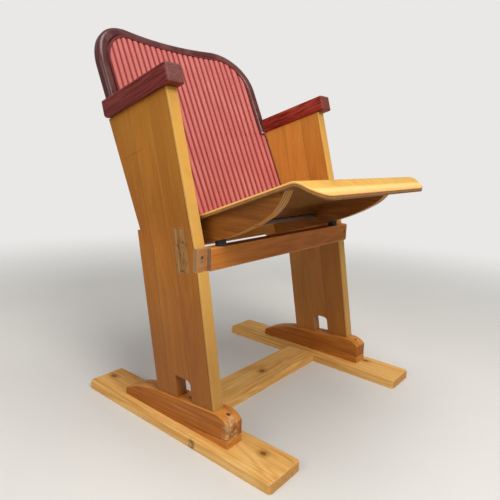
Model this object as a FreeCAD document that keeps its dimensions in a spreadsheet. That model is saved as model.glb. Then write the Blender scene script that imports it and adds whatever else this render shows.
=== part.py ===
import FreeCAD, Part
import math
import os

import Sketcher

# A tip up auditorium seat on a home made base, in millimetres.
# +Z is up and the sitter faces -Y. The origin is on the floor, under the middle of the crossbar.
# Left and right are the sitter's own, so left is +X and right is -X.

doc = FreeCAD.newDocument("tip_up_seat")
V = FreeCAD.Vector
X_AXIS = V(1, 0, 0)
Y_AXIS = V(0, 1, 0)
Z_AXIS = V(0, 0, 1)
SIDES = (("left", 1), ("right", -1))
# Tolerances of the tests that pick edges, and the places along an edge where they look
MATCH = 0.01
NEAR = 0.1
SHORT = 1
STATIONS = (0.1, 0.5, 0.9)

# Driving dimensions, in millimetres, or in degrees where the note says so
SIZES = {
    "panel_pitch": 504,  # centre to centre of the two side panels
    "panel_thick": 25,  # side panel thickness
    "runner_in": 8,  # runner's middle, inside the panel's middle
    "runner_length": 528,  # floor runner, front to back
    "runner_front": 269,  # runner's front end, ahead of the crossbar's middle
    "runner_width": 88,  # floor runner and its board's width
    "base_thick": 20,  # thickness of the runners and the crossbar
    "runner_corner": 7,  # rounding of the runner's four corners in plan
    "base_edge": 3,  # rounding along the top edges of the base boards
    "crossbar_width": 84,  # crossbar, front to back
    "bar_dowel_in": 21,  # crossbar dowel, in from the bar's front or back edge
    "foot_in": 4,  # foot's middle, inside the panel's middle
    "foot_thick": 41,  # foot, side to side
    "foot_front": 155,  # foot's front face, ahead of the crossbar's middle
    "foot_back": 146,  # foot's back end, behind the crossbar's middle
    "foot_nose_high": 64.6,  # top of the foot's front face
    "foot_tail_high": 35,  # top of the foot's back end
    "foot_edge": 2.5,  # rounding along the foot's edges
    "wedge_thick": 17.3,  # wedge at the front, under the foot
    "wedge_length": 138,  # wedge, front to back
    "panel_front": 118.5,  # panel's lower front corner, ahead of the crossbar's middle
    "panel_foot": 161.5,  # length of the panel's bottom edge on the foot, measured level
    "panel_low": 78.4,  # height of the panel's lower front corner
    "foot_fall": 4.74,  # slope of the foot's top under the panel, degrees
    "front_lean_low": 9.9,  # lean of the panel's front edge below the rail, degrees
    "front_lean_high": 15.4,  # lean of the panel's front edge above the rail, degrees
    "back_lean_low": 10.5,  # lean of the panel's lower back edge, degrees
    "back_lean": 24.5,  # lean of the backrest and the panel's upper back edge, degrees
    "panel_high": 658,  # height of the panel's upper front corner
    "arm_fall": 16.8,  # slope of the armrest, degrees
    "rebate_high": 389,  # height of the ledge where the backrest's rebate starts
    "rebate_deep": 10.4,  # depth of that rebate at the back edge
    "panel_edge": 1.6,  # rounding along the panel's edges
    "notch_length": 42,  # hollow in the panel's bottom edge, front to back
    "notch_high": 47,  # height of that hollow above the foot
    "notch_back": 61,  # from the panel's lower back corner forward to the hollow
    "notch_corner": 9,  # rounding of the hollow's upper front corner
    "rail_thick": 20,  # front rail, front to back
    "rail_high": 43,  # front rail's height
    "rail_low": 333,  # height of the front rail's underside
    "rail_back": 60,  # rail's back face, ahead of the crossbar's middle
    "rail_step": 11,  # depth cut from the rail's face at its right end
    "rail_corner": 5,  # rounding of the rail's end corners
    "rail_edge": 2,  # rounding along the rail's front edges
    "arm_width": 40,  # armrest, side to side
    "arm_thick": 37,  # armrest's thickness
    "arm_length": 205,  # armrest's length
    "arm_overhang": 18.5,  # armrest ahead of the panel's upper front corner, along its slope
    "arm_shift": 3,  # armrest's middle, outside the panel's middle
    "arm_edge": 4,  # rounding along the armrest
    "arm_heel": 9,  # rounding of the armrest's lower back edge
    "pivot_back": -22,  # hinge axis, behind the crossbar's middle
    "pivot_high": 397,  # height of the hinge axis
    "axle_diameter": 12,  # hinge axle
    "axle_fit": 0.05,  # radial clearance of the axle in what it turns or sits in
    "key_width": 33,  # key block in the panel's outer face, front to back
    "key_long": 84,  # key block's height along its lean
    "key_deep": 14,  # depth of the key block in the panel
    "key_lean": 8.7,  # lean of the key block, degrees
    "key_above": 11,  # key block's top end above the hinge axis, along its lean
    "key_corner": 4,  # rounding of the key block's corners
    "key_hole": 9,  # depth of the axle's end in the key block
    "nail_edge": 8.25,  # key block's nails, in from its long sides
    "nail_drop": 28,  # lowest nail below the key block's middle
    "nail_rise": 7,  # uppermost nail above the key block's middle
    "seat_gap": 9.5,  # gap between the seat board's sides and the panels
    "seat_thick": 9,  # seat board of bent plywood
    "seat_rise": 20,  # slope of the lowered seat, degrees
    "seat_high": 432.6,  # height of the seat's top face above the hinge station
    "hinge_station": -40,  # station at which the seat's height and bracket's depth are set
    "crest_front": 246.8,  # seat's crest, ahead of the crossbar's middle
    "crest_radius": 30,  # bend of the seat's crest, at its top face
    "lip_fall": 27.6,  # slope of the seat ahead of its crest, degrees
    "lip_front": 291.5,  # seat's front edge, ahead of the crossbar's middle
    "lip_corner": 45,  # rounding of the seat's front corners in plan
    "seat_back_edge": 78,  # seat's back corners, behind the crossbar's middle
    "seat_back_bulge": 31,  # how far the seat's back edge bows out behind its corners
    "seat_edge": 2,  # rounding of the seat board's edges
    "bracket_in": 25,  # bracket's middle, inside the seat board's side
    "bracket_thick": 24,  # seat bracket's thickness
    "bracket_low": 376,  # height of the bracket's underside at the hinge station
    "bracket_rise": 18.2,  # slope of the bracket's straight underside, degrees
    "bracket_bend": 70,  # where the underside starts to curve up, ahead of the middle
    "bracket_mid_front": 180,  # where the bracket's curve tightens, ahead of the middle
    "bracket_mid_high": 438,  # height of that place
    "bracket_nose": 219,  # bracket's front end under the seat, ahead of the middle
    "bracket_tail": 131,  # bracket's lower back corner, behind the crossbar's middle
    "tail_corner": 10,  # rounding of the bracket's back corners
    "brace_long": 24,  # brace between the bracket tails, along the tail
    "brace_high": 30,  # brace's height across the tail
    "brace_inset": 12,  # brace's distance from the tail's back end
    "brace_lift": 6,  # brace's distance above the tail's underside
    "bush_wall": 2.5,  # wall of the bush in each bracket
    "bush_flange": 2,  # thickness of the bush's flange
    "bush_rim": 13,  # radius of the bush's flange
    "spacer_wall": 2.5,  # wall of the spacer tube on the axle
    "running_gap": 0.3,  # gap between faces that turn past each other
    "buffer_diameter": 21,  # rubber buffer under each bracket
    "stop_diameter": 18,  # rubber stop behind the rail for each bracket
    "stop_high": 345,  # height of the rubber stop's middle
    "shell_thick": 9,  # curved backrest board
    "back_radius": 864,  # plan curve of the backrest board's front face
    "back_height": 477,  # backrest along its lean, from the ledge to the moulding's top
    "shell_lap": 14,  # how far the board laps over each panel's back edge
    "shell_lift": 5.5,  # board's lower edge above the ledge, along the lean
    "moulding_width": 24,  # round edge moulding, across its face
    "moulding_deep": 24,  # round edge moulding, front to back
    "moulding_lap": 10.5,  # moulding's outer side, outside the panel's inner face
    "moulding_corner": 115,  # outer rounding of the moulding's upper corners
    "moulding_start": 234.5,  # moulding's lower ends, along the lean
    "moulding_round": 8.5,  # rounding of the moulding's edges
    "moulding_proud": 8,  # moulding's front ahead of the board
    "groove_deep": 16,  # depth of the moulding's groove for the board
    "pad_edge_thick": 8,  # back pad at its sides
    "pad_mid_thick": 16,  # back pad at its middle
    "flute_count": 27,  # number of upright flutes in the back pad
    "flute_deep": 3.4,  # depth of the seams between the flutes
    "pad_roll": 5,  # rolled border of the pad
    "pad_corner": 8,  # rounding of the pad's lower corners
    "pad_skin": 1,  # height that the flutes take off the smooth pad's crown
    "pad_clear": 1,  # gap between the pad and the panels beside it
    "soft_gap": 0.3,  # gap around the soft pad
    "glue_gap": 0.05,  # gap around a dowel, screw or let in block
    "cut_spare": 10,  # how far a cutting shape runs past the wood
    "nose_lead": 1,  # foot's straight top runs this far in front of the panel
    "dowel_diameter": 10,  # dowels in the feet, arms and crossbar
    "dowel_depth": 24,  # depth of a dowel in each of its two pieces
    "screw_shank": 4.5,  # wood screw's shank
    "screw_head": 8,  # wood screw's head
    "screw_long": 38,  # brace screw's length below its head
    "head_thick": 2.6,  # height of a screw head
    "slot_width": 1.1,  # width of a screw's slot
    "slot_deep": 1.1,  # depth of a screw's slot
    "head_sink": 2,  # how far a screw head lies below the wood
    "foot_screw": 60,  # long screws through the foot into the runner
    "tail_screw": 38,  # screw through the foot's low back end
    "short_screw": 14,  # screws of the stops and the backrest
    "buffer_screw": 24,  # screws of the rubber buffers
    "seat_screw": 22,  # screws up through the brackets into the seat board
    "seat_bite": 5,  # how far a seat screw reaches into the seat board
    "nose_screw_in": 17,  # front foot screw, behind the foot's front face
    "tail_screw_in": 51,  # rear foot screw, ahead of the foot's back end
    "foot_dowel_in": 26,  # foot dowels, in from the panel's lower corners
    "arm_dowel_in": 45,  # armrest dowels, in from the panel's upper corners
    "rail_screw_high": 25,  # rail's screws above its underside
    "rail_screw_bite": 12.6,  # how far the rail's screws reach into the panels
    "nail_hole": 4,  # old nail hole under each rail screw
    "nail_hole_drop": 7,  # nail hole below the rail screw
    "buffer_in": 10,  # buffer's middle, ahead of the rail's back face
    "back_screw_in": 7.5,  # backrest's screws, out from the panel's inner face
    "back_screw_low": 40,  # lowest backrest screws above the ledge, along the lean
    "back_screw_step": 80,  # distance between the backrest's screws
    "seat_screw_back": 40,  # rearmost seat screws, behind the crossbar's middle
    "seat_screw_step": 90,  # distance between the seat screws
    "back_screw_sink": 0.5,  # how far the backrest's screw heads lie below the board
    "brace_screw_step": 16,  # distance between the two screws at each end of the brace
    "nail_diameter": 3,  # nails in the key blocks
    "nail_long": 20,  # nail's length
}
sizes = doc.addObject("Spreadsheet::Sheet", "sizes")
for row, (alias, value) in enumerate(SIZES.items(), start=1):
    sizes.set("A%d" % row, alias)
    sizes.set("B%d" % row, str(value))
    sizes.setAlias("B%d" % row, alias)
doc.recompute()

# Places worked out from the driving dimensions
places = doc.addObject("Spreadsheet::Sheet", "places")
places_row = [0]


def get(alias):
    """Read one driving dimension."""
    return float(sizes.get(alias))


def place(alias, value):
    """Write one worked out number to the second sheet, for the sketches to use."""
    places_row[0] += 1
    row = str(places_row[0])
    places.set("A" + row, alias)
    places.set("B" + row, "%.9f" % value)
    places.setAlias("B" + row, alias)
    return value


def tan(degrees):
    return math.tan(math.radians(degrees))


def sin(degrees):
    return math.sin(math.radians(degrees))


def cos(degrees):
    return math.cos(math.radians(degrees))


def meet(point, lean, other, fall):
    """The point where a line leaning back from upright meets a line falling towards the back."""
    run = (other[1] - point[1] - tan(fall) * (point[0] - other[0])) / (1 + tan(lean) * tan(fall))
    return (point[0] + tan(lean) * run, point[1] + run)


def along(point, angle, distance):
    """The point at a distance from another, in the YZ plane, at an angle above +Y."""
    return (point[0] + cos(angle) * distance, point[1] + sin(angle) * distance)


def arc_middle(start, end, bulge):
    """A point on the arc from start to end, standing off its chord to the left by bulge."""
    run = (end[0] - start[0], end[1] - start[1])
    length = math.hypot(*run)
    return (
        (start[0] + end[0]) / 2 - run[1] / length * bulge,
        (start[1] + end[1]) / 2 + run[0] / length * bulge,
    )


# Widths that follow from the panels' places
PANEL_OUT = get("panel_pitch") / 2 + get("panel_thick") / 2
PANEL_IN = get("panel_pitch") / 2 - get("panel_thick") / 2
runner_mid = place("runner_mid", get("panel_pitch") / 2 - get("runner_in"))
foot_mid = place("foot_mid", get("panel_pitch") / 2 - get("foot_in"))
half_seat = place("half_seat", PANEL_IN - get("seat_gap"))
bracket_mid = place("bracket_mid", half_seat - get("bracket_in"))
half_span = place("half_span", PANEL_IN + get("moulding_lap"))

# Side view outlines, as named points in the YZ plane
panel_low_front = (-get("panel_front"), get("panel_low"))
panel_low_back = (
    panel_low_front[0] + get("panel_foot"),
    panel_low_front[1] - get("panel_foot") * tan(get("foot_fall")),
)
rail_middle = get("rail_low") + get("rail_high") / 2
panel_kink = (
    panel_low_front[0] + (rail_middle - panel_low_front[1]) * tan(get("front_lean_low")),
    rail_middle,
)
panel_top_front = (
    panel_kink[0] + (get("panel_high") - rail_middle) * tan(get("front_lean_high")),
    get("panel_high"),
)
ledge_back = (
    panel_low_back[0] + (get("rebate_high") - panel_low_back[1]) * tan(get("back_lean_low")),
    get("rebate_high"),
)
ledge_front = (ledge_back[0] - get("rebate_deep"), get("rebate_high"))
panel_top_back = meet(ledge_front, get("back_lean"), panel_top_front, get("arm_fall"))


def on_foot(station):
    """The foot's top edge under the panel, at a station along Y."""
    return panel_low_front[1] - (station - panel_low_front[0]) * tan(get("foot_fall"))


notch_back_low = (panel_low_back[0] - get("notch_back"), on_foot(panel_low_back[0] - get("notch_back")))
notch_back_high = along(notch_back_low, 90 - get("front_lean_low"), get("notch_high"))
notch_front_low = (notch_back_low[0] - get("notch_length"), on_foot(notch_back_low[0] - get("notch_length")))
notch_front_high = (
    notch_front_low[0] + (notch_back_high[1] - notch_front_low[1]) * tan(get("front_lean_low")),
    notch_back_high[1],
)

base_top = get("base_thick")
pivot = (get("pivot_back"), get("pivot_high"))
rail_top = get("rail_low") + get("rail_high")

# The seat's section in the lowered position
station = get("hinge_station")
crest = (-get("crest_front"), 0)
crest_radius = get("crest_radius")
crest_back_y = crest[0] + crest_radius * sin(get("seat_rise"))
crest_back = (crest_back_y, get("seat_high") - (crest_back_y - station) * tan(get("seat_rise")))
crest_centre = (crest[0], crest_back[1] - crest_radius * cos(get("seat_rise")))
crest_top = (crest[0], crest_centre[1] + crest_radius)
crest_front = (
    crest[0] - crest_radius * sin(get("lip_fall")),
    crest_centre[1] + crest_radius * cos(get("lip_fall")),
)


def seat_top(station_y):
    """Height of the lowered seat's straight top face."""
    return get("seat_high") - (station_y - station) * tan(get("seat_rise"))


def seat_under(station_y):
    """Height of the lowered seat's straight underside."""
    return seat_top(station_y) - get("seat_thick") / cos(get("seat_rise"))


def bracket_under(station_y):
    """Height of the bracket's straight underside."""
    return get("bracket_low") - (station_y - station) * tan(get("bracket_rise"))


def arc_from(start, heading, end):
    """The middle of the arc that leaves start at a heading, in degrees, and ends at end."""
    run = (end[0] - start[0], end[1] - start[1])
    chord = math.hypot(*run)
    turn = math.atan2(run[1], run[0]) - math.radians(heading)
    turn = math.atan2(math.sin(turn), math.cos(turn))
    return arc_middle(start, end, -chord / 2 * math.tan(turn / 2))


# Sketch helpers
def origin_plane(body, role):
    for feature in body.Origin.OriginFeatures:
        if feature.Role == role:
            return feature
    raise ValueError("no plane " + role)


def new_body(label):
    body = doc.addObject("PartDesign::Body", label)
    body.Label = label
    return body


def bind(target, name, expression):
    target.setExpression(name, expression)


def arc_through(start, middle, end):
    """Centre, radius and turning sense of the arc through three points of a plane."""
    ax, ay = start
    bx, by = middle
    cx, cy = end
    d = 2 * (ax * (by - cy) + bx * (cy - ay) + cx * (ay - by))
    ux = ((ax * ax + ay * ay) * (by - cy) + (bx * bx + by * by) * (cy - ay)
          + (cx * cx + cy * cy) * (ay - by)) / d
    uy = ((ax * ax + ay * ay) * (cx - bx) + (bx * bx + by * by) * (ax - cx)
          + (cx * cx + cy * cy) * (bx - ax)) / d
    return (ux, uy), math.hypot(ax - ux, ay - uy), d > 0


def outline_sketch(body, name, role, points, arcs=None):
    """Draw a closed outline on one of the body's own planes.

    points is a list of (u, v) corners. arcs says, for the side that starts at a corner,
    which point its arc passes through. Every corner and radius is held by a cell of the
    places sheet, so the sketch follows the sheets.
    """
    arcs = arcs or {}
    sketch = body.newObject("Sketcher::SketchObject", name)
    sketch.AttachmentSupport = [(origin_plane(body, role), "")]
    sketch.MapMode = "FlatFace"
    count = len(points)
    ends = []
    cells = []
    for i, (u, v) in enumerate(points):
        cell = name + "_p" + str(i)
        place(cell + "_u", u)
        place(cell + "_v", v)
        cells.append(cell)
    for i in range(count):
        start = points[i]
        end = points[(i + 1) % count]
        if i in arcs:
            centre, radius, ccw = arc_through(start, arcs[i], end)
            circle = Part.Circle(V(centre[0], centre[1], 0), Z_AXIS, radius)
            first = math.atan2(start[1] - centre[1], start[0] - centre[0])
            last = math.atan2(end[1] - centre[1], end[0] - centre[0])
            if not ccw:
                first, last = last, first
            if last < first:
                last += 2 * math.pi
            sketch.addGeometry(Part.ArcOfCircle(circle, first, last), False)
            ends.append((1, 2) if ccw else (2, 1))
            place(name + "_r" + str(i), radius)
        else:
            sketch.addGeometry(Part.LineSegment(V(start[0], start[1], 0), V(end[0], end[1], 0)), False)
            ends.append((1, 2))
    places.recompute()
    for i in range(count):
        j = (i + 1) % count
        sketch.addConstraint(Sketcher.Constraint("Coincident", i, ends[i][1], j, ends[j][0]))
    for i in range(count):
        for axis, letter, value in (("DistanceX", "_u", points[i][0]), ("DistanceY", "_v", points[i][1])):
            index = sketch.addConstraint(Sketcher.Constraint(axis, -1, 1, i, ends[i][0], value))
            bind(sketch, "Constraints[%d]" % index, "places." + cells[i] + letter)
        if i in arcs:
            radius = arc_through(points[i], arcs[i], points[(i + 1) % count])[1]
            index = sketch.addConstraint(Sketcher.Constraint("Radius", i, radius))
            bind(sketch, "Constraints[%d]" % index, "places." + name + "_r" + str(i))
    return sketch


def pad_sketch(body, sketch, length, both_ways=False):
    """Thicken a sketch by a length that is given as an expression."""
    pad = body.newObject("PartDesign::Pad", sketch.Name + "_pad")
    pad.Profile = sketch
    bind(pad, "Length", length)
    pad.Midplane = both_ways
    sketch.Visibility = False
    return pad


def edge_list(shape, test):
    return ["Edge%d" % (i + 1) for i, edge in enumerate(shape.Edges) if test(edge)]


def round_edges(body, feature, radius, test):
    """Round the edges of a body's last feature that pass a test."""
    doc.recompute([feature])
    fillet = body.newObject("PartDesign::Fillet", feature.Name + "_round")
    fillet.Base = (feature, edge_list(feature.Shape, test))
    bind(fillet, "Radius", radius)
    body.Tip = fillet
    return fillet


def plate(label, points, thickness, low_x, arcs=None):
    """A board whose side view is an outline: sketch in YZ, thickened along X."""
    body = new_body(label)
    sketch = outline_sketch(body, label + "_view", "YZ_Plane", points, arcs)
    pad_sketch(body, sketch, thickness)
    bind(body, "Placement.Base.x", low_x)
    return body


def board(label, corners, height, low_z):
    """A flat board: sketch in XY, thickened upwards."""
    body = new_body(label)
    sketch = outline_sketch(body, label + "_plan", "XY_Plane", corners)
    pad_sketch(body, sketch, height)
    bind(body, "Placement.Base.z", low_z)
    return body


# Primitive helpers
def aimed(point, direction):
    """A placement at a point whose own Z runs along a direction."""
    return FreeCAD.Placement(point, FreeCAD.Rotation(Z_AXIS, direction))


def cylinder(name, radius, height, where):
    made = doc.addObject("Part::Cylinder", name)
    bind(made, "Radius", radius)
    bind(made, "Height", height)
    made.Placement = where
    return made


def fuse(label, parts):
    made = doc.addObject("Part::MultiFuse", label)
    made.Shapes = parts
    made.Label = label
    return made


def cut(label, base, tools):
    """Take one or more tools from a base, which keeps its name as a blank."""
    tool = tools[0] if len(tools) == 1 else fuse(label + "_tools", tools)
    made = doc.addObject("Part::Cut", label)
    made.Base = base
    made.Tool = tool
    made.Label = label
    return made


def common(label, parts):
    made = doc.addObject("Part::MultiCommon", label)
    made.Shapes = parts
    made.Refine = False
    made.Label = label
    return made


def group(label, parts):
    """Identical small pieces, each a solid of its own, kept in one node."""
    made = doc.addObject("Part::Compound", label)
    made.Links = parts
    made.Label = label
    return made


nodes = []


def keep(made):
    nodes.append(made)
    return made


def x_of(side, amount):
    """An expression for a distance out from the middle plane, on one side."""
    return ("" if side > 0 else "-1 * ") + "(" + amount + ")"


def low_x(side, middle, thick):
    """An expression for the lower X face of a piece that is centred on one side."""
    return x_of(side, middle) + " - (" + thick + ") / 2"


GLUE = "sizes.glue_gap"


def point(x, flat):
    return V(x, flat[0], flat[1])


def direction(flat):
    return V(0, flat[0], flat[1])


def dowel_pair(name, where):
    """A dowel centred on a joint face, with the hole that it sits in.

    where is the placement whose origin is on the joint and whose Z runs along the dowel.
    """
    start = FreeCAD.Placement(V(0, 0, -get("dowel_depth")), FreeCAD.Rotation())
    dowel = cylinder(name, "sizes.dowel_diameter / 2", "2 * sizes.dowel_depth", where.multiply(start))
    gap = get("glue_gap")
    back = FreeCAD.Placement(V(0, 0, -get("dowel_depth") - gap), FreeCAD.Rotation())
    hole = cylinder(
        name + "_hole",
        "sizes.dowel_diameter / 2 + " + GLUE,
        "2 * sizes.dowel_depth + 2 * " + GLUE,
        where.multiply(back),
    )
    return dowel, hole


def screw_and_hole(name, face_point, inward, sink, length):
    """A slotted wood screw driven inwards from a point on a face, and the hole for it.

    sink is how far its head lies below the face, and length how far it reaches below its head.
    """
    place(name + "_sink", sink)
    place(name + "_reach", length)
    sink_cell = "places." + name + "_sink"
    head_top = aimed(face_point + inward * sink, inward)
    long_enough = "places." + name + "_reach + sizes.head_thick"
    shank = cylinder(name + "_shank", "sizes.screw_shank / 2", long_enough, head_top)
    head = cylinder(name + "_head", "sizes.screw_head / 2", "sizes.head_thick", head_top)
    slot = doc.addObject("Part::Box", name + "_slot")
    bind(slot, "Length", "sizes.screw_head * 2")
    bind(slot, "Width", "sizes.slot_width")
    bind(slot, "Height", "2 * sizes.slot_deep")
    corner = V(-get("screw_head"), -get("slot_width") / 2, -get("slot_deep"))
    slot.Placement = head_top.multiply(FreeCAD.Placement(corner, FreeCAD.Rotation()))
    made = cut(name, fuse(name + "_body", [shank, head]), [slot])
    shank_hole = cylinder(
        name + "_shank_hole",
        "sizes.screw_shank / 2 + " + GLUE,
        long_enough + " + " + GLUE,
        head_top,
    )
    head_hole = cylinder(
        name + "_head_hole",
        "sizes.screw_head / 2 + " + GLUE,
        "sizes.screw_head + " + sink_cell + " + sizes.head_thick + " + GLUE,
        aimed(face_point - inward * get("screw_head"), inward),
    )
    return made, fuse(name + "_hole", [shank_hole, head_hole])


# Floor runners and crossbar
runner_inner = runner_mid - get("runner_width") / 2
half_bar = get("crossbar_width") / 2
crossbar_dowels = []
crossbar_holes = {"left": [], "right": []}
for word, side in SIDES:
    for k in (-1, 1):
        dowel_y = k * (half_bar - get("bar_dowel_in"))
        where = aimed(V(side * runner_inner, dowel_y, base_top / 2), X_AXIS)
        dowel, hole = dowel_pair("crossbar_dowel_%s_%d" % (word, k + 1), where)
        crossbar_dowels.append(dowel)
        crossbar_holes[word].append(hole)

half_runner = get("runner_width") / 2
runner_back = get("runner_length") - get("runner_front")
runner_blanks = {}
for word, side in SIDES:
    body = board(
        "runner_" + word + "_blank",
        [
            (-half_runner, -get("runner_front")),
            (half_runner, -get("runner_front")),
            (half_runner, runner_back),
            (-half_runner, runner_back),
        ],
        "sizes.base_thick",
        "0",
    )
    bind(body, "Placement.Base.x", x_of(side, "places.runner_mid"))
    corners = round_edges(
        body, body.Tip, "sizes.runner_corner", lambda e: abs(e.Length - base_top) < MATCH
    )
    round_edges(
        body,
        corners,
        "sizes.base_edge",
        lambda e: e.BoundBox.ZMin > base_top - MATCH,
    )
    runner_blanks[word] = body

crossbar_blank = board(
    "base_crossbar_blank",
    [
        (-runner_inner, -half_bar),
        (runner_inner, -half_bar),
        (runner_inner, half_bar),
        (-runner_inner, half_bar),
    ],
    "sizes.base_thick",
    "0",
)
round_edges(
    crossbar_blank,
    crossbar_blank.Tip,
    "sizes.base_edge",
    lambda e: e.BoundBox.ZMin > base_top - MATCH and e.BoundBox.XLength > SHORT,
)
keep(cut("base_crossbar", crossbar_blank, crossbar_holes["left"] + crossbar_holes["right"]))
keep(group("crossbar_dowels", crossbar_dowels))

# Screws that hold each foot, its wedge and its runner together
nose_top = (-get("foot_front"), get("foot_nose_high"))
nose_lead = panel_low_front[0] - get("nose_lead")
nose_end = (nose_lead, on_foot(nose_lead))
nose_mid = arc_from(nose_end, 180 - get("foot_fall"), nose_top)
tail_top = (get("foot_back"), get("foot_tail_high"))
tail_mid = arc_from(panel_low_back, -get("foot_fall"), tail_top)
wedge_tip = (-get("foot_front") + get("wedge_length"), base_top)
wedge_nose = (-get("foot_front"), base_top + get("wedge_thick"))


def on_arc(start, middle, end, station_y):
    """Height of the upper side of an arc at a station along Y."""
    centre, radius, ccw = arc_through(start, middle, end)
    return centre[1] + math.sqrt(radius ** 2 - (station_y - centre[0]) ** 2)


nose_screw_y = -get("foot_front") + get("nose_screw_in")
notch_screw_y = notch_back_low[0] - get("notch_length") / 2
tail_screw_y = get("foot_back") - get("tail_screw_in")
foot_screw_spots = (
    ("nose", nose_screw_y, on_arc(nose_top, nose_mid, nose_end, nose_screw_y), get("foot_screw")),
    ("notch", notch_screw_y, on_foot(notch_screw_y), get("foot_screw")),
    ("tail", tail_screw_y, on_arc(panel_low_back, tail_mid, tail_top, tail_screw_y), get("tail_screw")),
)
foot_screws = []
foot_screw_holes = {"left": [], "right": []}
for word, side in SIDES:
    for spot, spot_y, spot_z, length in foot_screw_spots:
        made, hole = screw_and_hole(
            "foot_screw_" + word + "_" + spot,
            V(side * foot_mid, spot_y, spot_z),
            V(0, 0, -1),
            get("head_sink"),
            length,
        )
        foot_screws.append(made)
        foot_screw_holes[word].append(hole)
keep(group("foot_screws", foot_screws))
for word, side in SIDES:
    keep(cut("runner_" + word, runner_blanks[word], crossbar_holes[word] + foot_screw_holes[word]))

# Wedges and feet
panel_mid = get("panel_pitch") / 2
foot_up = direction((sin(get("foot_fall")), cos(get("foot_fall"))))
panel_dowels = []
foot_dowel_holes = {"left": [], "right": []}
for word, side in SIDES:
    for k, spot_y in enumerate(
        (panel_low_front[0] + get("foot_dowel_in"), panel_low_back[0] - get("foot_dowel_in"))
    ):
        where = aimed(V(side * panel_mid, spot_y, on_foot(spot_y)), foot_up)
        dowel, hole = dowel_pair("panel_dowel_%s_%d" % (word, k), where)
        panel_dowels.append(dowel)
        foot_dowel_holes[word].append(hole)
keep(group("panel_dowels", panel_dowels))


def in_end_faces(thick):
    """A test for the edges that lie in a plate's two flat faces."""

    def test(edge):
        box = edge.BoundBox
        from_face = min(abs(box.XMin), abs(box.XMin - thick))
        return box.XLength < MATCH and from_face < MATCH

    return test


foot_side = in_end_faces(get("foot_thick"))


def worn_foot_edge(edge):
    """A test for the foot's upper edges, its nose and its tail."""
    box = edge.BoundBox
    above_wedge = wedge_nose[1] + SHORT
    upper = foot_side(edge) and box.ZMax > above_wedge and box.ZMin > base_top + SHORT
    nose = box.XLength > SHORT and box.ZMin > above_wedge and box.YMax < nose_top[0] + NEAR
    tail = box.XLength > SHORT and abs(box.ZMin - tail_top[1]) < NEAR
    return upper or nose or tail


for word, side in SIDES:
    wedge = plate(
        "wedge_" + word + "_blank",
        [wedge_tip, wedge_nose, (-get("foot_front"), base_top)],
        "sizes.foot_thick",
        low_x(side, "places.foot_mid", "sizes.foot_thick"),
    )
    keep(cut("wedge_" + word, wedge, foot_screw_holes[word]))
    foot = plate(
        "foot_" + word + "_blank",
        [
            wedge_nose,
            wedge_tip,
            (get("foot_back"), base_top),
            tail_top,
            panel_low_back,
            nose_end,
            nose_top,
        ],
        "sizes.foot_thick",
        low_x(side, "places.foot_mid", "sizes.foot_thick"),
        {3: tail_mid, 5: nose_mid},
    )
    round_edges(foot, foot.Tip, "sizes.foot_edge", worn_foot_edge)
    keep(cut("foot_" + word, foot, foot_screw_holes[word] + foot_dowel_holes[word]))

# Hinge: key blocks, nails, axle, spacers and bushes
pivot_up = (sin(get("key_lean")), cos(get("key_lean")))
pivot_across = (cos(get("key_lean")), -sin(get("key_lean")))
key_centre = (
    pivot[0] + pivot_up[0] * (get("key_above") - get("key_long") / 2),
    pivot[1] + pivot_up[1] * (get("key_above") - get("key_long") / 2),
)


def key_point(across, up):
    """A place on the key block, from its middle, across it and up its lean."""
    return (
        key_centre[0] + pivot_across[0] * across + pivot_up[0] * up,
        key_centre[1] + pivot_across[1] * across + pivot_up[1] * up,
    )


def key_outline(grow):
    """Corners and corner arcs of the key block, or of its pocket when grown by a gap."""
    half_w = get("key_width") / 2 + grow
    half_h = get("key_long") / 2 + grow
    corner = get("key_corner") + grow
    in_w = half_w - corner
    in_h = half_h - corner
    mid = corner * math.sqrt(0.5)
    points = []
    arcs = {}
    for k, (sw, sh) in enumerate(((1, -1), (1, 1), (-1, 1), (-1, -1))):
        side_spot = key_point(sw * half_w, sh * in_h)
        end_spot = key_point(sw * in_w, sh * half_h)
        pair = (side_spot, end_spot) if sw * sh > 0 else (end_spot, side_spot)
        points.extend(pair)
        arcs[2 * k] = key_point(sw * (in_w + mid), sh * (in_h + mid))
    return points, arcs


axle_radius = "sizes.axle_diameter / 2"
axle_hole = "(sizes.axle_diameter / 2 + sizes.axle_fit)"
axle_end = "(sizes.panel_pitch / 2 + sizes.panel_thick / 2 - sizes.key_deep + sizes.key_hole)"
axle_reach = PANEL_OUT - get("key_deep") + get("key_hole")
axle = cylinder(
    "pivot_axle", axle_radius, "2 * " + axle_end, aimed(V(-axle_reach, pivot[0], pivot[1]), X_AXIS)
)
axle.Label = "pivot_axle"
keep(axle)
axle_bore = cylinder(
    "axle_bore",
    axle_hole,
    "2 * " + axle_end + " + 2 * sizes.running_gap",
    aimed(V(-axle_reach - get("running_gap"), pivot[0], pivot[1]), X_AXIS),
)

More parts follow.
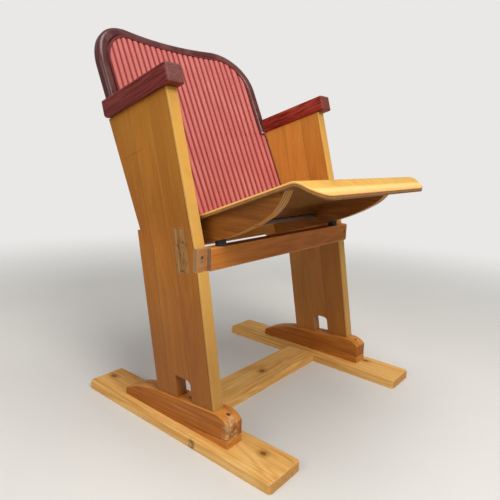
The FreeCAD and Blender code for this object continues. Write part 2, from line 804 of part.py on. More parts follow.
nail_across = get("key_width") / 2 - get("nail_edge")
nail_spots = (
    (nail_across, 0),
    (-nail_across, -get("nail_drop")),
    (-nail_across, get("nail_rise")),
)
key_middle = place("key_middle", PANEL_OUT - get("key_deep") / 2)
place("pocket_middle", key_middle + get("cut_spare") / 2)
nails = []
key_pockets = {}
nail_holes = {"left": [], "right": []}
for word, side in SIDES:
    for k, (across, up) in enumerate(nail_spots):
        spot = key_point(across, up)
        inward = V(-side, 0, 0)
        where = aimed(point(side * PANEL_OUT, spot), inward)
        nail = cylinder(
            "key_nail_%s_%d" % (word, k), "sizes.nail_diameter / 2", "sizes.nail_long", where
        )
        nails.append(nail)
        nail_holes[word].append(
            cylinder(
                "key_nail_hole_%s_%d" % (word, k),
                "sizes.nail_diameter / 2 + " + GLUE,
                "sizes.nail_long + " + GLUE,
                where,
            )
        )
    key_low = low_x(side, "places.key_middle", "sizes.key_deep")
    points, arcs = key_outline(0)
    key = plate("pivot_key_" + word + "_blank", points, "sizes.key_deep", key_low, arcs)
    keep(cut("pivot_key_" + word, key, [axle_bore] + nail_holes[word]))
    points, arcs = key_outline(get("glue_gap"))
    pocket_deep = "sizes.key_deep + sizes.cut_spare"
    pocket_low = low_x(side, "places.pocket_middle", pocket_deep)
    key_pockets[word] = plate("key_pocket_" + word, points, pocket_deep, pocket_low, arcs)
keep(group("key_nails", nails))

bracket_out = bracket_mid + get("bracket_thick") / 2
spacer_length = PANEL_IN - bracket_out - get("bush_flange") - get("running_gap")
place("spacer_length", spacer_length)
bush_outer = "(" + axle_hole + " + sizes.bush_wall)"
bush_holes = {}
for word, side in SIDES:
    outward = V(side, 0, 0)
    spacer_start = V(side * (PANEL_IN - spacer_length), pivot[0], pivot[1])
    tube = cylinder(
        "axle_spacer_" + word + "_tube",
        axle_hole + " + sizes.spacer_wall",
        "places.spacer_length",
        aimed(spacer_start, outward),
    )
    keep(cut("axle_spacer_" + word, tube, [axle_bore]))
    bush_start = V(side * (bracket_out - get("bracket_thick")), pivot[0], pivot[1])
    sleeve = cylinder(
        "bush_sleeve_" + word, bush_outer, "sizes.bracket_thick", aimed(bush_start, outward)
    )
    flange_start = V(side * bracket_out, pivot[0], pivot[1])
    flange = cylinder(
        "bush_flange_" + word, "sizes.bush_rim", "sizes.bush_flange", aimed(flange_start, outward)
    )
    keep(cut("bracket_bush_" + word, fuse("bush_solid_" + word, [sleeve, flange]), [axle_bore]))
    bush_holes[word] = cylinder(
        "bush_hole_" + word,
        bush_outer + " + " + GLUE,
        "sizes.bracket_thick + 2",
        aimed(bush_start - outward, outward),
    )

# Front rail, its screws, the rubber buffers under the seat and the stops behind the rail
rail_face = -get("rail_back") - get("rail_thick")
rail_step_face = rail_face + get("rail_step")
rail_back = -get("rail_back")
rail = board(
    "front_rail_blank",
    [
        (-PANEL_OUT, rail_step_face),
        (-PANEL_IN, rail_step_face),
        (-PANEL_IN, rail_face),
        (PANEL_OUT, rail_face),
        (PANEL_OUT, rail_back),
        (-PANEL_OUT, rail_back),
    ],
    "sizes.rail_high",
    "sizes.rail_low",
)


def left_end_edge(edge):
    """A test for the top and bottom edges of the rail's left end."""
    box = edge.BoundBox
    return box.YLength > SHORT and box.XMin > PANEL_OUT - MATCH and box.ZLength < MATCH


rail_corners = round_edges(rail, rail.Tip, "sizes.rail_corner", left_end_edge)
round_edges(
    rail,
    rail_corners,
    "sizes.rail_edge",
    lambda e: e.BoundBox.YMax < rail_face + MATCH and e.BoundBox.XMax > -PANEL_IN + MATCH,
)
rail_screws = []
rail_holes = []
screw_z = get("rail_low") + get("rail_screw_high")
for word, side in SIDES:
    face_y = rail_face if side > 0 else rail_step_face
    screw_reach = rail_back + get("rail_screw_bite") - face_y - get("head_sink") - get("head_thick")
    made, hole = screw_and_hole(
        "rail_screw_" + word, V(side * panel_mid, face_y, screw_z), Y_AXIS, get("head_sink"), screw_reach
    )
    rail_screws.append(made)
    rail_holes.append(hole)
    rail_holes.append(
        cylinder(
            "rail_nail_hole_" + word,
            "sizes.nail_hole / 2",
            "sizes.nail_hole * 2",
            aimed(V(side * panel_mid, face_y - get("nail_hole"), screw_z - get("nail_hole_drop")), Y_AXIS),
        )
    )

buffer_y = rail_back - get("buffer_in")
buffer_high = bracket_under(buffer_y) - rail_top
buffer_slope = aimed(
    V(0, buffer_y, bracket_under(buffer_y) - get("running_gap") / cos(get("bracket_rise"))),
    direction((sin(get("bracket_rise")), cos(get("bracket_rise")))),
)
place("buffer_reach", buffer_high + get("buffer_diameter"))
slope_reach = place("slope_reach", 2 * get("buffer_diameter"))
pivot_to_under = (pivot[1] - bracket_under(pivot[0])) * cos(get("bracket_rise"))
stop_face = pivot[0] - pivot_to_under - get("running_gap")
place("stop_thick", stop_face - rail_back)
buffer_screws = []
stop_screws = []
for word, side in SIDES:
    x_here = side * bracket_mid
    made, hole = screw_and_hole(
        "buffer_screw_" + word,
        V(x_here, buffer_y, rail_top + buffer_high / 2),
        V(0, 0, -1),
        0,
        get("buffer_screw"),
    )
    buffer_screws.append(made)
    rail_holes.append(hole)
    stub = cylinder(
        "rubber_buffer_" + word + "_stub",
        "sizes.buffer_diameter / 2",
        "places.buffer_reach",
        aimed(V(x_here, buffer_y, rail_top), Z_AXIS),
    )
    slope = doc.addObject("Part::Box", "buffer_slope_" + word)
    for name in ("Length", "Width", "Height"):
        bind(slope, name, "2 * places.slope_reach")
    corner = V(-slope_reach, -slope_reach, 0)
    slope.Placement = FreeCAD.Placement(V(x_here, 0, 0), FreeCAD.Rotation()).multiply(
        buffer_slope.multiply(FreeCAD.Placement(corner, FreeCAD.Rotation()))
    )
    keep(cut("rubber_buffer_" + word, stub, [slope, hole]))
    made, hole = screw_and_hole(
        "stop_screw_" + word,
        V(x_here, stop_face, get("stop_high")),
        V(0, -1, 0),
        get("head_sink"),
        get("short_screw"),
    )
    stop_screws.append(made)
    rail_holes.append(hole)
    pad = cylinder(
        "tip_stop_" + word + "_stub",
        "sizes.stop_diameter / 2",
        "places.stop_thick",
        aimed(V(x_here, rail_back, get("stop_high")), Y_AXIS),
    )
    keep(cut("tip_stop_" + word, pad, [hole]))
keep(cut("front_rail", rail, rail_holes))
keep(group("rail_screws", rail_screws))
keep(group("buffer_screws", buffer_screws))
keep(group("stop_screws", stop_screws))

# Backrest, drawn in a frame of its own: x across, y out of its back, z up its lean
lean_turn = FreeCAD.Rotation(X_AXIS, -get("back_lean"))
back_frame = FreeCAD.Placement(point(0, ledge_front), lean_turn)
back_out = direction((cos(get("back_lean")), -sin(get("back_lean"))))
back_radius = get("back_radius")
back_sag = back_radius - math.sqrt(back_radius ** 2 - PANEL_IN ** 2)


def shell_face(x, radius=None):
    """How far the board's front face lies behind the ledge line, at a distance across."""
    return back_sag - back_radius + math.sqrt((radius or back_radius) ** 2 - x ** 2)


def in_back_frame(body):
    body.Placement = back_frame
    return body


def curved_band(label, inner, outer, reach, low, high):
    """A curved band between two radii of the backrest's plan curve."""
    body = new_body(label)
    edge = [shell_face(reach, inner), shell_face(reach, outer)]
    points = [(-reach, edge[0]), (reach, edge[0]), (reach, edge[1]), (-reach, edge[1])]
    arcs = {0: (0, shell_face(0, inner)), 2: (0, shell_face(0, outer))}
    sketch = outline_sketch(body, label + "_plan", "XY_Plane", points, arcs)
    place(label + "_high", high - low)
    pad_sketch(body, sketch, "places." + label + "_high")
    body.Placement = back_frame.multiply(FreeCAD.Placement(V(0, 0, low), FreeCAD.Rotation()))
    return body


def face_outline(label, points, arcs):
    """A prism whose outline is drawn on the backrest's face and runs through its thickness."""
    body = new_body(label)
    sketch = outline_sketch(body, label + "_face", "XZ_Plane", points, arcs)
    pad_sketch(body, sketch, "sizes.back_height", True)
    return in_back_frame(body)


def arch(half_width, low, top, corner):
    """The corners and arcs of an arch with rounded upper corners, from its lower right end."""
    mid = corner * math.sqrt(0.5)
    points = [
        (half_width, low),
        (half_width, top - corner),
        (half_width - corner, top),
        (corner - half_width, top),
        (-half_width, top - corner),
        (-half_width, low),
    ]
    arcs = {
        1: (half_width - corner + mid, top - corner + mid),
        3: (corner - half_width - mid, top - corner + mid),
    }
    return points, arcs


ring = get("moulding_width")
ring_top = get("back_height")
start_s = get("moulding_start")
spare = get("cut_spare")
outer_points, outer_arcs = arch(half_span, start_s, ring_top, get("moulding_corner"))
inner_points, inner_arcs = arch(half_span - ring, start_s, ring_top - ring, get("moulding_corner") - ring)
ring_points = outer_points + inner_points[::-1]
ring_arcs = dict(outer_arcs)
ring_arcs[7] = inner_arcs[3]
ring_arcs[9] = inner_arcs[1]
moulding_front = back_radius - get("moulding_proud")
moulding_back = moulding_front + get("moulding_deep")
moulding_blank = common(
    "back_moulding_blank",
    [
        curved_band(
            "moulding_band",
            moulding_front,
            moulding_back,
            half_span + spare,
            start_s - spare,
            ring_top + spare,
        ),
        face_outline("moulding_outline", ring_points, ring_arcs),
    ],
)
doc.recompute([moulding_blank])


def back_spots(edge):
    """Three places along an edge, in the backrest's own frame."""
    local = back_frame.inverse()
    run = edge.LastParameter - edge.FirstParameter
    return [local.multVec(edge.valueAt(edge.FirstParameter + run * k)) for k in STATIONS]


def long_ring_edge(edge):
    """A test for the four lines of edges that run along the moulding."""
    spots = back_spots(edge)
    at_end = all(abs(s.z - start_s) < MATCH for s in spots)
    across = [math.hypot(s.x, s.y - back_sag + back_radius) for s in spots]
    on_front = all(abs(r - moulding_front) < MATCH for r in across)
    on_back = all(abs(r - moulding_back) < MATCH for r in across)
    return not at_end and (on_front or on_back)


moulding_round = doc.addObject("Part::Fillet", "back_moulding_round")
moulding_round.Base = moulding_blank
radius = get("moulding_round")
moulding_round.Edges = [
    (i + 1, radius, radius) for i, edge in enumerate(moulding_blank.Shape.Edges) if long_ring_edge(edge)
]

shell_reach = PANEL_IN + get("shell_lap")
tongue = half_span - ring + get("groove_deep")
tongue_corner = get("moulding_corner") - ring + get("groove_deep")
shell_top = ring_top - ring + get("groove_deep")
shoulder = start_s - get("running_gap")


def shell_outline(wide, narrow, corner, top, low, shoulder_s):
    """The board's outline: wide between the ledge and the shoulder, narrow in the moulding."""
    points, arcs = arch(narrow, shoulder_s, top, corner)
    points = [(wide, low), (wide, shoulder_s)] + points + [(-wide, shoulder_s), (-wide, low)]
    return points, {k + 2: mid for k, mid in arcs.items()}


gap = get("glue_gap")
points, arcs = shell_outline(shell_reach, tongue, tongue_corner, shell_top, get("shell_lift"), shoulder)
shell_outer = back_radius + get("shell_thick")
shell_blank = common(
    "back_shell_blank",
    [
        curved_band("shell_band", back_radius, shell_outer, shell_reach + spare, 0, ring_top),
        face_outline("shell_outline", points, arcs),
    ],
)
groove_low = start_s - 2 * spare
groove_points, groove_arcs = arch(tongue + gap, groove_low, shell_top + gap, tongue_corner + gap)
groove = common(
    "moulding_groove",
    [
        curved_band(
            "groove_band", back_radius - gap, shell_outer + gap, shell_reach + spare, 0, ring_top
        ),
        face_outline("groove_outline", groove_points, groove_arcs),
    ],
)
keep(cut("back_moulding", moulding_round, [groove]))

# Screws that hold the backrest board to the panels' back edges
back_screws = []
back_screw_holes = []
for word, side in SIDES:
    for k in (0, 1, 2):
        screw_x = PANEL_IN + get("back_screw_in")
        screw_s = get("back_screw_low") + k * get("back_screw_step")
        face_spot = back_frame.multVec(V(side * screw_x, shell_face(screw_x, shell_outer), screw_s))
        made, hole = screw_and_hole(
            "back_screw_%s_%d" % (word, k),
            face_spot,
            back_out * -1,
            get("back_screw_sink"),
            get("short_screw"),
        )
        back_screws.append(made)
        back_screw_holes.append(hole)
keep(cut("back_shell", shell_blank, back_screw_holes))
keep(group("back_screws", back_screws))

# Fluted back pad: a crowned cushion with rolled borders, then its flutes
pad_wide = PANEL_IN - get("pad_clear")
pad_narrow = half_span - ring - get("pad_clear") / 2
pad_corner = get("moulding_corner") - ring - get("pad_clear") / 2
pad_top = ring_top - ring - get("pad_clear") / 2
pad_step = start_s - get("pad_clear")
pad_back = back_radius - get("soft_gap")
crown_side = shell_face(pad_wide) - get("pad_edge_thick")
crown_mid = shell_face(0) - get("pad_mid_thick")
crown_centre, crown_radius = arc_through(
    (-pad_wide, crown_side), (0, crown_mid), (pad_wide, crown_side)
)[:2]


def crown(x):
    """How far the pad's front lies behind the ledge line, at a distance across."""
    return crown_centre[1] + math.sqrt(crown_radius ** 2 - x ** 2)


def pad_plan(label, front, arcs):
    """The pad's plan from its front line, closed by its back face, and raised to its height."""
    body = new_body(label)
    rear = shell_face(pad_wide, pad_back)
    points = front + [(pad_wide, rear), (-pad_wide, rear)]
    arcs[len(front)] = (0, shell_face(0, pad_back))
    sketch = outline_sketch(body, label + "_plan", "XY_Plane", points, arcs)
    pad_sketch(body, sketch, "sizes.back_height")
    return in_back_frame(body)


roll = get("pad_roll") + get("pad_skin")
soft_corner = get("pad_corner")
step_in = soft_corner / 2
arch_points, arch_arcs = arch(pad_narrow, pad_step + step_in, pad_top, pad_corner)
pad_low = get("shell_lift") + get("soft_gap")
soft_mid = soft_corner * (1 - math.sqrt(0.5))
step_mid = step_in * (1 - math.sqrt(0.5))
right_points = [
    (pad_wide - soft_corner, pad_low),
    (pad_wide, pad_low + soft_corner),
    (pad_wide, pad_step - soft_corner),
    (pad_wide - soft_corner, pad_step),
    (pad_narrow + step_in, pad_step),
]
left_points = [(-u, v) for u, v in right_points[::-1]]
pad_points = right_points + arch_points + left_points
pad_arcs = {
    0: (pad_wide - soft_mid, pad_low + soft_mid),
    2: (pad_wide - soft_mid, pad_step - soft_mid),
    4: (pad_narrow + step_mid, pad_step + step_mid),
    6: arch_arcs[1],
    8: arch_arcs[3],
    10: (-pad_narrow - step_mid, pad_step + step_mid),
    12: (soft_mid - pad_wide, pad_step - soft_mid),
    14: (soft_mid - pad_wide, pad_low + soft_mid),
}
skin = get("pad_skin")
skin_side = (pad_wide, crown_side - skin)
skin_mid = (0, crown_mid - skin)
skin_centre, skin_radius = arc_through((-pad_wide, skin_side[1]), skin_mid, skin_side)[:2]
crowned = pad_plan("back_pad_crown", [(-pad_wide, skin_side[1]), skin_side], {0: skin_mid})
pad_blank = common("back_pad_blank", [crowned, face_outline("back_pad_outline", pad_points, pad_arcs)])
doc.recompute([pad_blank])


def on_skin(edge):
    """A test for the front border of the smooth pad."""
    from_skin = [math.hypot(spot.x, spot.y - skin_centre[1]) - skin_radius for spot in back_spots(edge)]
    return all(abs(gap_here) < MATCH for gap_here in from_skin)


pad_rolled = doc.addObject("Part::Fillet", "back_pad_rolled")
pad_rolled.Base = pad_blank
pad_rolled.Edges = [
    (i + 1, roll, roll) for i, edge in enumerate(pad_blank.Shape.Edges) if on_skin(edge)
]

flutes = int(get("flute_count"))
flute_pitch = 2 * pad_wide / flutes
valleys = []
for k in range(flutes + 1):
    valley_x = k * flute_pitch - pad_wide
    valleys.append((valley_x, crown(valley_x) + get("flute_deep")))
crests = {}
for k in range(flutes):
    crest_x = (k + 0.5) * flute_pitch - pad_wide
    crests[k] = (crest_x, crown(crest_x))
keep(common("back_pad", [pad_rolled, pad_plan("back_pad_flutes", valleys, crests)]))

# Side panels
notch_round = get("notch_corner")
notch_arc_start = (notch_front_high[0] + notch_round, notch_front_high[1])
notch_arc_end = along(notch_front_high, -90 - get("front_lean_low"), notch_round)
panel_points = [
    panel_low_front,
    panel_kink,
    panel_top_front,
    panel_top_back,
    ledge_front,
    ledge_back,
    panel_low_back,
    notch_back_low,
    notch_back_high,
    notch_arc_start,
    notch_arc_end,
    notch_front_low,
]
panel_arcs = {9: arc_from(notch_arc_start, 180, notch_arc_end)}


def edge_between(start, end):
    """A test for the edges that join two corners of a side view."""

    def test(edge):
        if len(edge.Vertexes) != 2:
            return False
        ends = [(v.Point.y, v.Point.z) for v in edge.Vertexes]
        return any(
            math.dist(ends[0], a) < MATCH and math.dist(ends[1], b) < MATCH
            for a, b in ((start, end), (end, start))
        )

    return test


panel_round_edges = [
    edge_between(panel_low_front, panel_kink),
    edge_between(panel_kink, panel_top_front),
    edge_between(ledge_back, panel_low_back),
]
arm_up = 90 - get("arm_fall")
arm_dowels = []
arm_dowel_holes = {"left": [], "right": []}
arm_spots = (
    along(panel_top_front, -get("arm_fall"), get("arm_dowel_in")),
    along(panel_top_back, 180 - get("arm_fall"), get("arm_dowel_in")),
)
for word, side in SIDES:
    for k, spot in enumerate(arm_spots):
        where = aimed(point(side * panel_mid, spot), direction((cos(arm_up), sin(arm_up))))
        dowel, hole = dowel_pair("arm_dowel_%s_%d" % (word, k), where)
        arm_dowels.append(dowel)
        arm_dowel_holes[word].append(hole)

housing = doc.addObject("Part::Box", "rail_housing")
bind(housing, "Length", "sizes.panel_pitch + 2 * sizes.panel_thick")
bind(housing, "Width", "2 * sizes.rail_thick + " + GLUE)
bind(housing, "Height", "sizes.rail_high + 2 * " + GLUE)
housing.Placement = FreeCAD.Placement(
    V(
        -panel_mid - get("panel_thick"),
        rail_back - 2 * get("rail_thick"),
        get("rail_low") - get("glue_gap"),
    ),
    FreeCAD.Rotation(),
)
lap = curved_band(
    "panel_lap",
    back_radius - gap,
    shell_outer + 2 * spare,
    shell_reach + gap,
    get("shell_lift") - gap,
    ring_top,
)
moulding_room = doc.addObject("Part::Box", "moulding_room")
bind(moulding_room, "Length", "2 * places.half_span + 2 * sizes.running_gap")
bind(moulding_room, "Width", "sizes.moulding_deep + 2 * sizes.cut_spare")
bind(moulding_room, "Height", "sizes.back_height / 2")
room_front = shell_face(half_span - get("moulding_round"), moulding_front) - get("running_gap")
moulding_room.Placement = back_frame.multiply(
    FreeCAD.Placement(V(-half_span - get("running_gap"), room_front, start_s - gap), FreeCAD.Rotation())
)
for word, side in SIDES:
    panel = plate(
        "side_panel_" + word + "_blank",
        panel_points,
        "sizes.panel_thick",
        low_x(side, "sizes.panel_pitch / 2", "sizes.panel_thick"),
        panel_arcs,
    )
    round_edges(panel, panel.Tip, "sizes.panel_edge", lambda e: any(test(e) for test in panel_round_edges))
    keep(
        cut(
            "side_panel_" + word,
            panel,
            [housing, lap, moulding_room, axle_bore, key_pockets[word]]
            + nail_holes[word]
            + foot_dowel_holes[word]
            + arm_dowel_holes[word]
            + rail_holes
            + back_screw_holes,
        )
    )

# Armrests
arm_low_front = along(panel_top_front, 180 - get("arm_fall"), get("arm_overhang"))
arm_low_back = along(arm_low_front, -get("arm_fall"), get("arm_length"))
arm_high_back = along(arm_low_back, arm_up, get("arm_thick"))
arm_high_front = along(arm_low_front, arm_up, get("arm_thick"))
heel_start = along(arm_low_back, 180 - get("arm_fall"), get("arm_heel"))
heel_end = along(arm_low_back, arm_up, get("arm_heel"))
arm_points = [arm_low_front, heel_start, heel_end, arm_high_back, arm_high_front]
arm_arcs = {1: arc_from(heel_start, -get("arm_fall"), heel_end)}
arm_side = in_end_faces(get("arm_width"))


def across_end(corner):
    """A test for the edge that runs across the board at one corner of its side view."""
    return lambda e: e.BoundBox.XLength > SHORT and all(
        math.dist((v.Point.y, v.Point.z), corner) < MATCH for v in e.Vertexes
    )


arm_ends = [across_end(arm_low_front), across_end(arm_high_front), across_end(arm_high_back)]
for word, side in SIDES:
    arm = plate(
        "armrest_" + word + "_blank",
        arm_points,
        "sizes.arm_width",
        low_x(side, "sizes.panel_pitch / 2 + sizes.arm_shift", "sizes.arm_width"),
        arm_arcs,
    )
    round_edges(arm, arm.Tip, "sizes.arm_edge", lambda e: arm_side(e) or any(test(e) for test in arm_ends))
    keep(cut("armrest_" + word, arm, [moulding_room] + arm_dowel_holes[word]))
keep(group("armrest_dowels", arm_dowels))

# Seat board
section_front = -get("lip_front") - 2 * get("seat_thick")
section_back = get("seat_back_edge") + get("seat_back_bulge") + 2 * get("seat_thick")
thick = get("seat_thick")
in_radius = crest_radius - thick
lip_out = (section_front - crest_front[0]) / -cos(get("lip_fall"))
lip_end = along(crest_front, 180 + get("lip_fall"), lip_out)
crest_back_in = (
    crest[0] + in_radius * sin(get("seat_rise")),
    crest_centre[1] + in_radius * cos(get("seat_rise")),
)
crest_front_in = (
    crest[0] - in_radius * sin(get("lip_fall")),
    crest_centre[1] + in_radius * cos(get("lip_fall")),
)
seat_end = (section_back, seat_top(section_back))
seat_points = [
    seat_end,
    crest_back,
    crest_front,
    lip_end,
    along(lip_end, get("lip_fall") - 90, thick),
    crest_front_in,
    crest_back_in,
    along(seat_end, -90 - get("seat_rise"), thick),
]
seat_arcs = {1: crest_top, 5: (crest[0], crest_centre[1] + in_radius)}
seat_section = new_body("seat_section")
section_sketch = outline_sketch(seat_section, "seat_section_view", "YZ_Plane", seat_points, seat_arcs)
pad_sketch(seat_section, section_sketch, "2 * places.half_seat + 2 * sizes.cut_spare", True)
lip_y = -get("lip_front")
lip_corner = get("lip_corner")
corner_mid = lip_corner * (1 - math.sqrt(0.5))
seat_plan_points = [
    (half_seat, get("seat_back_edge")),
    (-half_seat, get("seat_back_edge")),
    (-half_seat, lip_y + lip_corner),
    (lip_corner - half_seat, lip_y),
    (half_seat - lip_corner, lip_y),
    (half_seat, lip_y + lip_corner),
]
seat_plan_arcs = {
    0: (0, get("seat_back_edge") + get("seat_back_bulge")),
    2: (corner_mid - half_seat, lip_y + corner_mid),
    4: (half_seat - corner_mid, lip_y + corner_mid),
}
seat_plan = new_body("seat_plan")
plan_sketch = outline_sketch(seat_plan, "seat_plan_view", "XY_Plane", seat_plan_points, seat_plan_arcs)
pad_sketch(seat_plan, plan_sketch, "2 * sizes.seat_high")
seat_blank = common("seat_shell_blank", [seat_section, seat_plan])
doc.recompute([seat_blank])
rear_centre, rear_radius = arc_through(
    seat_plan_points[0], seat_plan_arcs[0], seat_plan_points[1]
)[:2]


def on_seat_border(edge):
    """A test for the edges along the seat board's border, above and below."""
    if len(edge.Vertexes) != 2:
        return False
    first, last = (v.Point for v in edge.Vertexes)
    if math.hypot(first.x - last.x, first.y - last.y) < MATCH:
        return False
    mid = edge.valueAt((edge.FirstParameter + edge.LastParameter) / 2)
    corner_x = abs(mid.x) - (half_seat - lip_corner)
    corner_y = (lip_y + lip_corner) - mid.y
    from_corner = math.hypot(corner_x, corner_y) - lip_corner
    on_corner = corner_x > 0 and corner_y > 0 and abs(from_corner) < NEAR
    from_rear = math.hypot(mid.x - rear_centre[0], mid.y - rear_centre[1]) - rear_radius
    on_rear = mid.y > 0 and abs(from_rear) < NEAR
    return on_corner or on_rear or abs(abs(mid.x) - half_seat) < NEAR or abs(mid.y - lip_y) < NEAR


seat_round = doc.addObject("Part::Fillet", "seat_shell_round")
seat_round.Base = seat_blank
edge_radius = get("seat_edge")
seat_border = [i for i, edge in enumerate(seat_blank.Shape.Edges) if on_seat_border(edge)]
seat_round.Edges = [(i + 1, edge_radius, edge_radius) for i in seat_border]

# Seat brackets, their brace and the screws of both
rise = get("bracket_rise")
tail_low = (get("bracket_tail"), bracket_under(get("bracket_tail")))
bend = (-get("bracket_bend"), bracket_under(-get("bracket_bend")))
bracket_mid_point = (-get("bracket_mid_front"), get("bracket_mid_high"))
bracket_nose = (-get("bracket_nose"), seat_under(-get("bracket_nose")))
bend_chord = math.degrees(math.atan2(bracket_mid_point[1] - bend[1], bracket_mid_point[0] - bend[0]))
bend_mid = arc_from(bend, 180 - rise, bracket_mid_point)
curl_mid = arc_from(bracket_mid_point, 2 * bend_chord - (180 - rise), bracket_nose)
tail_gap = seat_under(tail_low[0]) - tail_low[1]
tail_high = along(tail_low, 90 - rise, tail_gap * cos(get("seat_rise")) / cos(get("seat_rise") - rise))
bracket_points = [tail_low, bend, bracket_mid_point, bracket_nose, tail_high]
bracket_arcs = {1: bend_mid, 2: curl_mid}
brace_start = along(along(tail_low, 180 - rise, get("brace_inset")), 90 - rise, get("brace_lift"))
brace_end = along(brace_start, 180 - rise, get("brace_long"))
brace_points = [
    brace_start,
    brace_end,
    along(brace_end, 90 - rise, get("brace_high")),
    along(brace_start, 90 - rise, get("brace_high")),
]
brace = plate(
    "seat_brace_blank",
    brace_points,
    "2 * places.bracket_mid - sizes.bracket_thick",
    "sizes.bracket_thick / 2 - places.bracket_mid",
)
brace_middle = along(along(brace_start, 180 - rise, get("brace_long") / 2), 90 - rise, get("brace_high") / 2)
screw_run = cos(get("seat_rise")) + sin(get("seat_rise")) * tan(rise)
brace_screws = []
brace_holes = {"left": [], "right": []}
seat_screws = []
seat_holes = {"left": [], "right": []}
for word, side in SIDES:
    for k in (-1, 1):
        spot = along(brace_middle, 90 - rise, k * get("brace_screw_step") / 2)
        made, hole = screw_and_hole(
            "brace_screw_%s_%d" % (word, k + 1),
            point(side * bracket_out, spot),
            V(-side, 0, 0),
            get("head_sink"),
            get("screw_long"),
        )
        brace_screws.append(made)
        brace_holes[word].append(hole)
    for k in (0, 1, 2):
        spot_y = get("seat_screw_back") - k * get("seat_screw_step")
        spot = (spot_y, seat_under(spot_y))
        run_down = (spot[1] - bracket_under(spot_y)) / screw_run
        made, hole = screw_and_hole(
            "seat_screw_%s_%d" % (word, k),
            point(side * bracket_mid, along(spot, 270 - get("seat_rise"), run_down)),
            direction((sin(get("seat_rise")), cos(get("seat_rise")))),
            run_down - get("seat_screw") - get("head_thick") + get("seat_bite"),
            get("seat_screw"),
        )
        seat_screws.append(made)
        seat_holes[word].append(hole)
keep(cut("seat_shell", seat_round, seat_holes["left"] + seat_holes["right"]))
for word, side in SIDES:
    bracket = plate(
        "seat_bracket_" + word + "_blank",
        bracket_points,
        "sizes.bracket_thick",
        low_x(side, "places.bracket_mid", "sizes.bracket_thick"),
        bracket_arcs,
    )
    round_edges(
        bracket,
        bracket.Tip,
        "sizes.tail_corner",
        lambda e: across_end(tail_low)(e) or across_end(tail_high)(e),
    )
    keep(cut("seat_bracket_" + word, bracket, [bush_holes[word]] + brace_holes[word] + seat_holes[word]))
keep(cut("seat_brace", brace, brace_holes["left"] + brace_holes["right"]))
keep(group("brace_screws", brace_screws))
keep(group("seat_screws", seat_screws))

# Last check of the whole document, then one file per node
doc.recompute()
for thing in doc.Objects:
    if "Invalid" in thing.State or "Error" in thing.State:
        raise RuntimeError(thing.Label + " is " + ", ".join(thing.State))
for made in nodes:
    if made.Shape.isNull() or not made.Shape.isValid():
        raise RuntimeError(made.Label + " has no sound shape")
os.makedirs("parts", exist_ok=True)
for made in nodes:
    made.Shape.exportStep("parts/" + made.Label + ".step")
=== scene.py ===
import math
import random

import bpy
from mathutils import Matrix, Vector


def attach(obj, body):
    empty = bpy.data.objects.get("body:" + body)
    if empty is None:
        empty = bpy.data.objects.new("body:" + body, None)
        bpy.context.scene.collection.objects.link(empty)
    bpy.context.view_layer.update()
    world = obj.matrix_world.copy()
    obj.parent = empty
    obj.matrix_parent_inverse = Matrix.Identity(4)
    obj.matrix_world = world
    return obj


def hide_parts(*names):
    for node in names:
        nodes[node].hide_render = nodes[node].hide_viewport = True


# A tip up auditorium seat on a home made wooden base, as it stands in the photograph.
# Lengths are in metres, in the frame of the CAD model: X to the sitter's left, Y to the back
# and Z up. Colours are written as a screen shows them, from 0 to 255.

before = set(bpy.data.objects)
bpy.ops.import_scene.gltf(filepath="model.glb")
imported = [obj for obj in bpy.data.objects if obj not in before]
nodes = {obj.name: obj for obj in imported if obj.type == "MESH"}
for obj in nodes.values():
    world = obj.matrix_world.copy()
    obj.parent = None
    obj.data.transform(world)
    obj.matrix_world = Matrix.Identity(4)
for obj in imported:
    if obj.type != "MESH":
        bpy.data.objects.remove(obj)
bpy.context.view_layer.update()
scene = bpy.context.scene
X_DIR = Vector((1, 0, 0))
Y_DIR = Vector((0, 1, 0))
Z_DIR = Vector((0, 0, 1))


def tilted(degrees):
    """A direction in the side plane, at an angle above +Y."""
    angle = math.radians(degrees)
    return Vector((0, math.cos(angle), math.sin(angle)))


def rgb(red, green, blue):
    """A screen colour as a shader wants it: linear, with an alpha of 1."""
    out = []
    for value in (red, green, blue):
        part = value / 255
        out.append(part / 12.92 if part <= 0.04045 else ((part + 0.055) / 1.055) ** 2.4)
    return (*out, 1)


def add_object(name, data):
    made = bpy.data.objects.new(name, data)
    scene.collection.objects.link(made)
    return made


def add_mesh(name, points, faces):
    mesh = bpy.data.meshes.new(name)
    mesh.from_pydata([tuple(point) for point in points], [], faces)
    return add_object(name, mesh)


# Camera, fitted to points of the photograph
CAMERA_AT = Vector((-0.831392, -0.658126, 0.542596))
YAW, PITCH, ROLL = (math.radians(a) for a in (50.474, -11.45, 1.9))
LENS = 33.67
SENSOR = 36
forward = Vector(
    (math.sin(YAW) * math.cos(PITCH), math.cos(YAW) * math.cos(PITCH), math.sin(PITCH))
)
level = forward.cross(Z_DIR).normalized()
upward = level.cross(forward)
right = level * math.cos(ROLL) + upward * math.sin(ROLL)
above = upward * math.cos(ROLL) - level * math.sin(ROLL)
camera_data = bpy.data.cameras.new("camera")
camera_data.lens = LENS
camera_data.sensor_width = SENSOR
camera_data.clip_start = 0.01
camera = add_object("camera", camera_data)
camera.matrix_world = Matrix(
    [(right[i], above[i], -forward[i], CAMERA_AT[i]) for i in range(3)] + [(0, 0, 0, 1)]
)
scene.camera = camera
scene.view_settings.view_transform = "Standard"


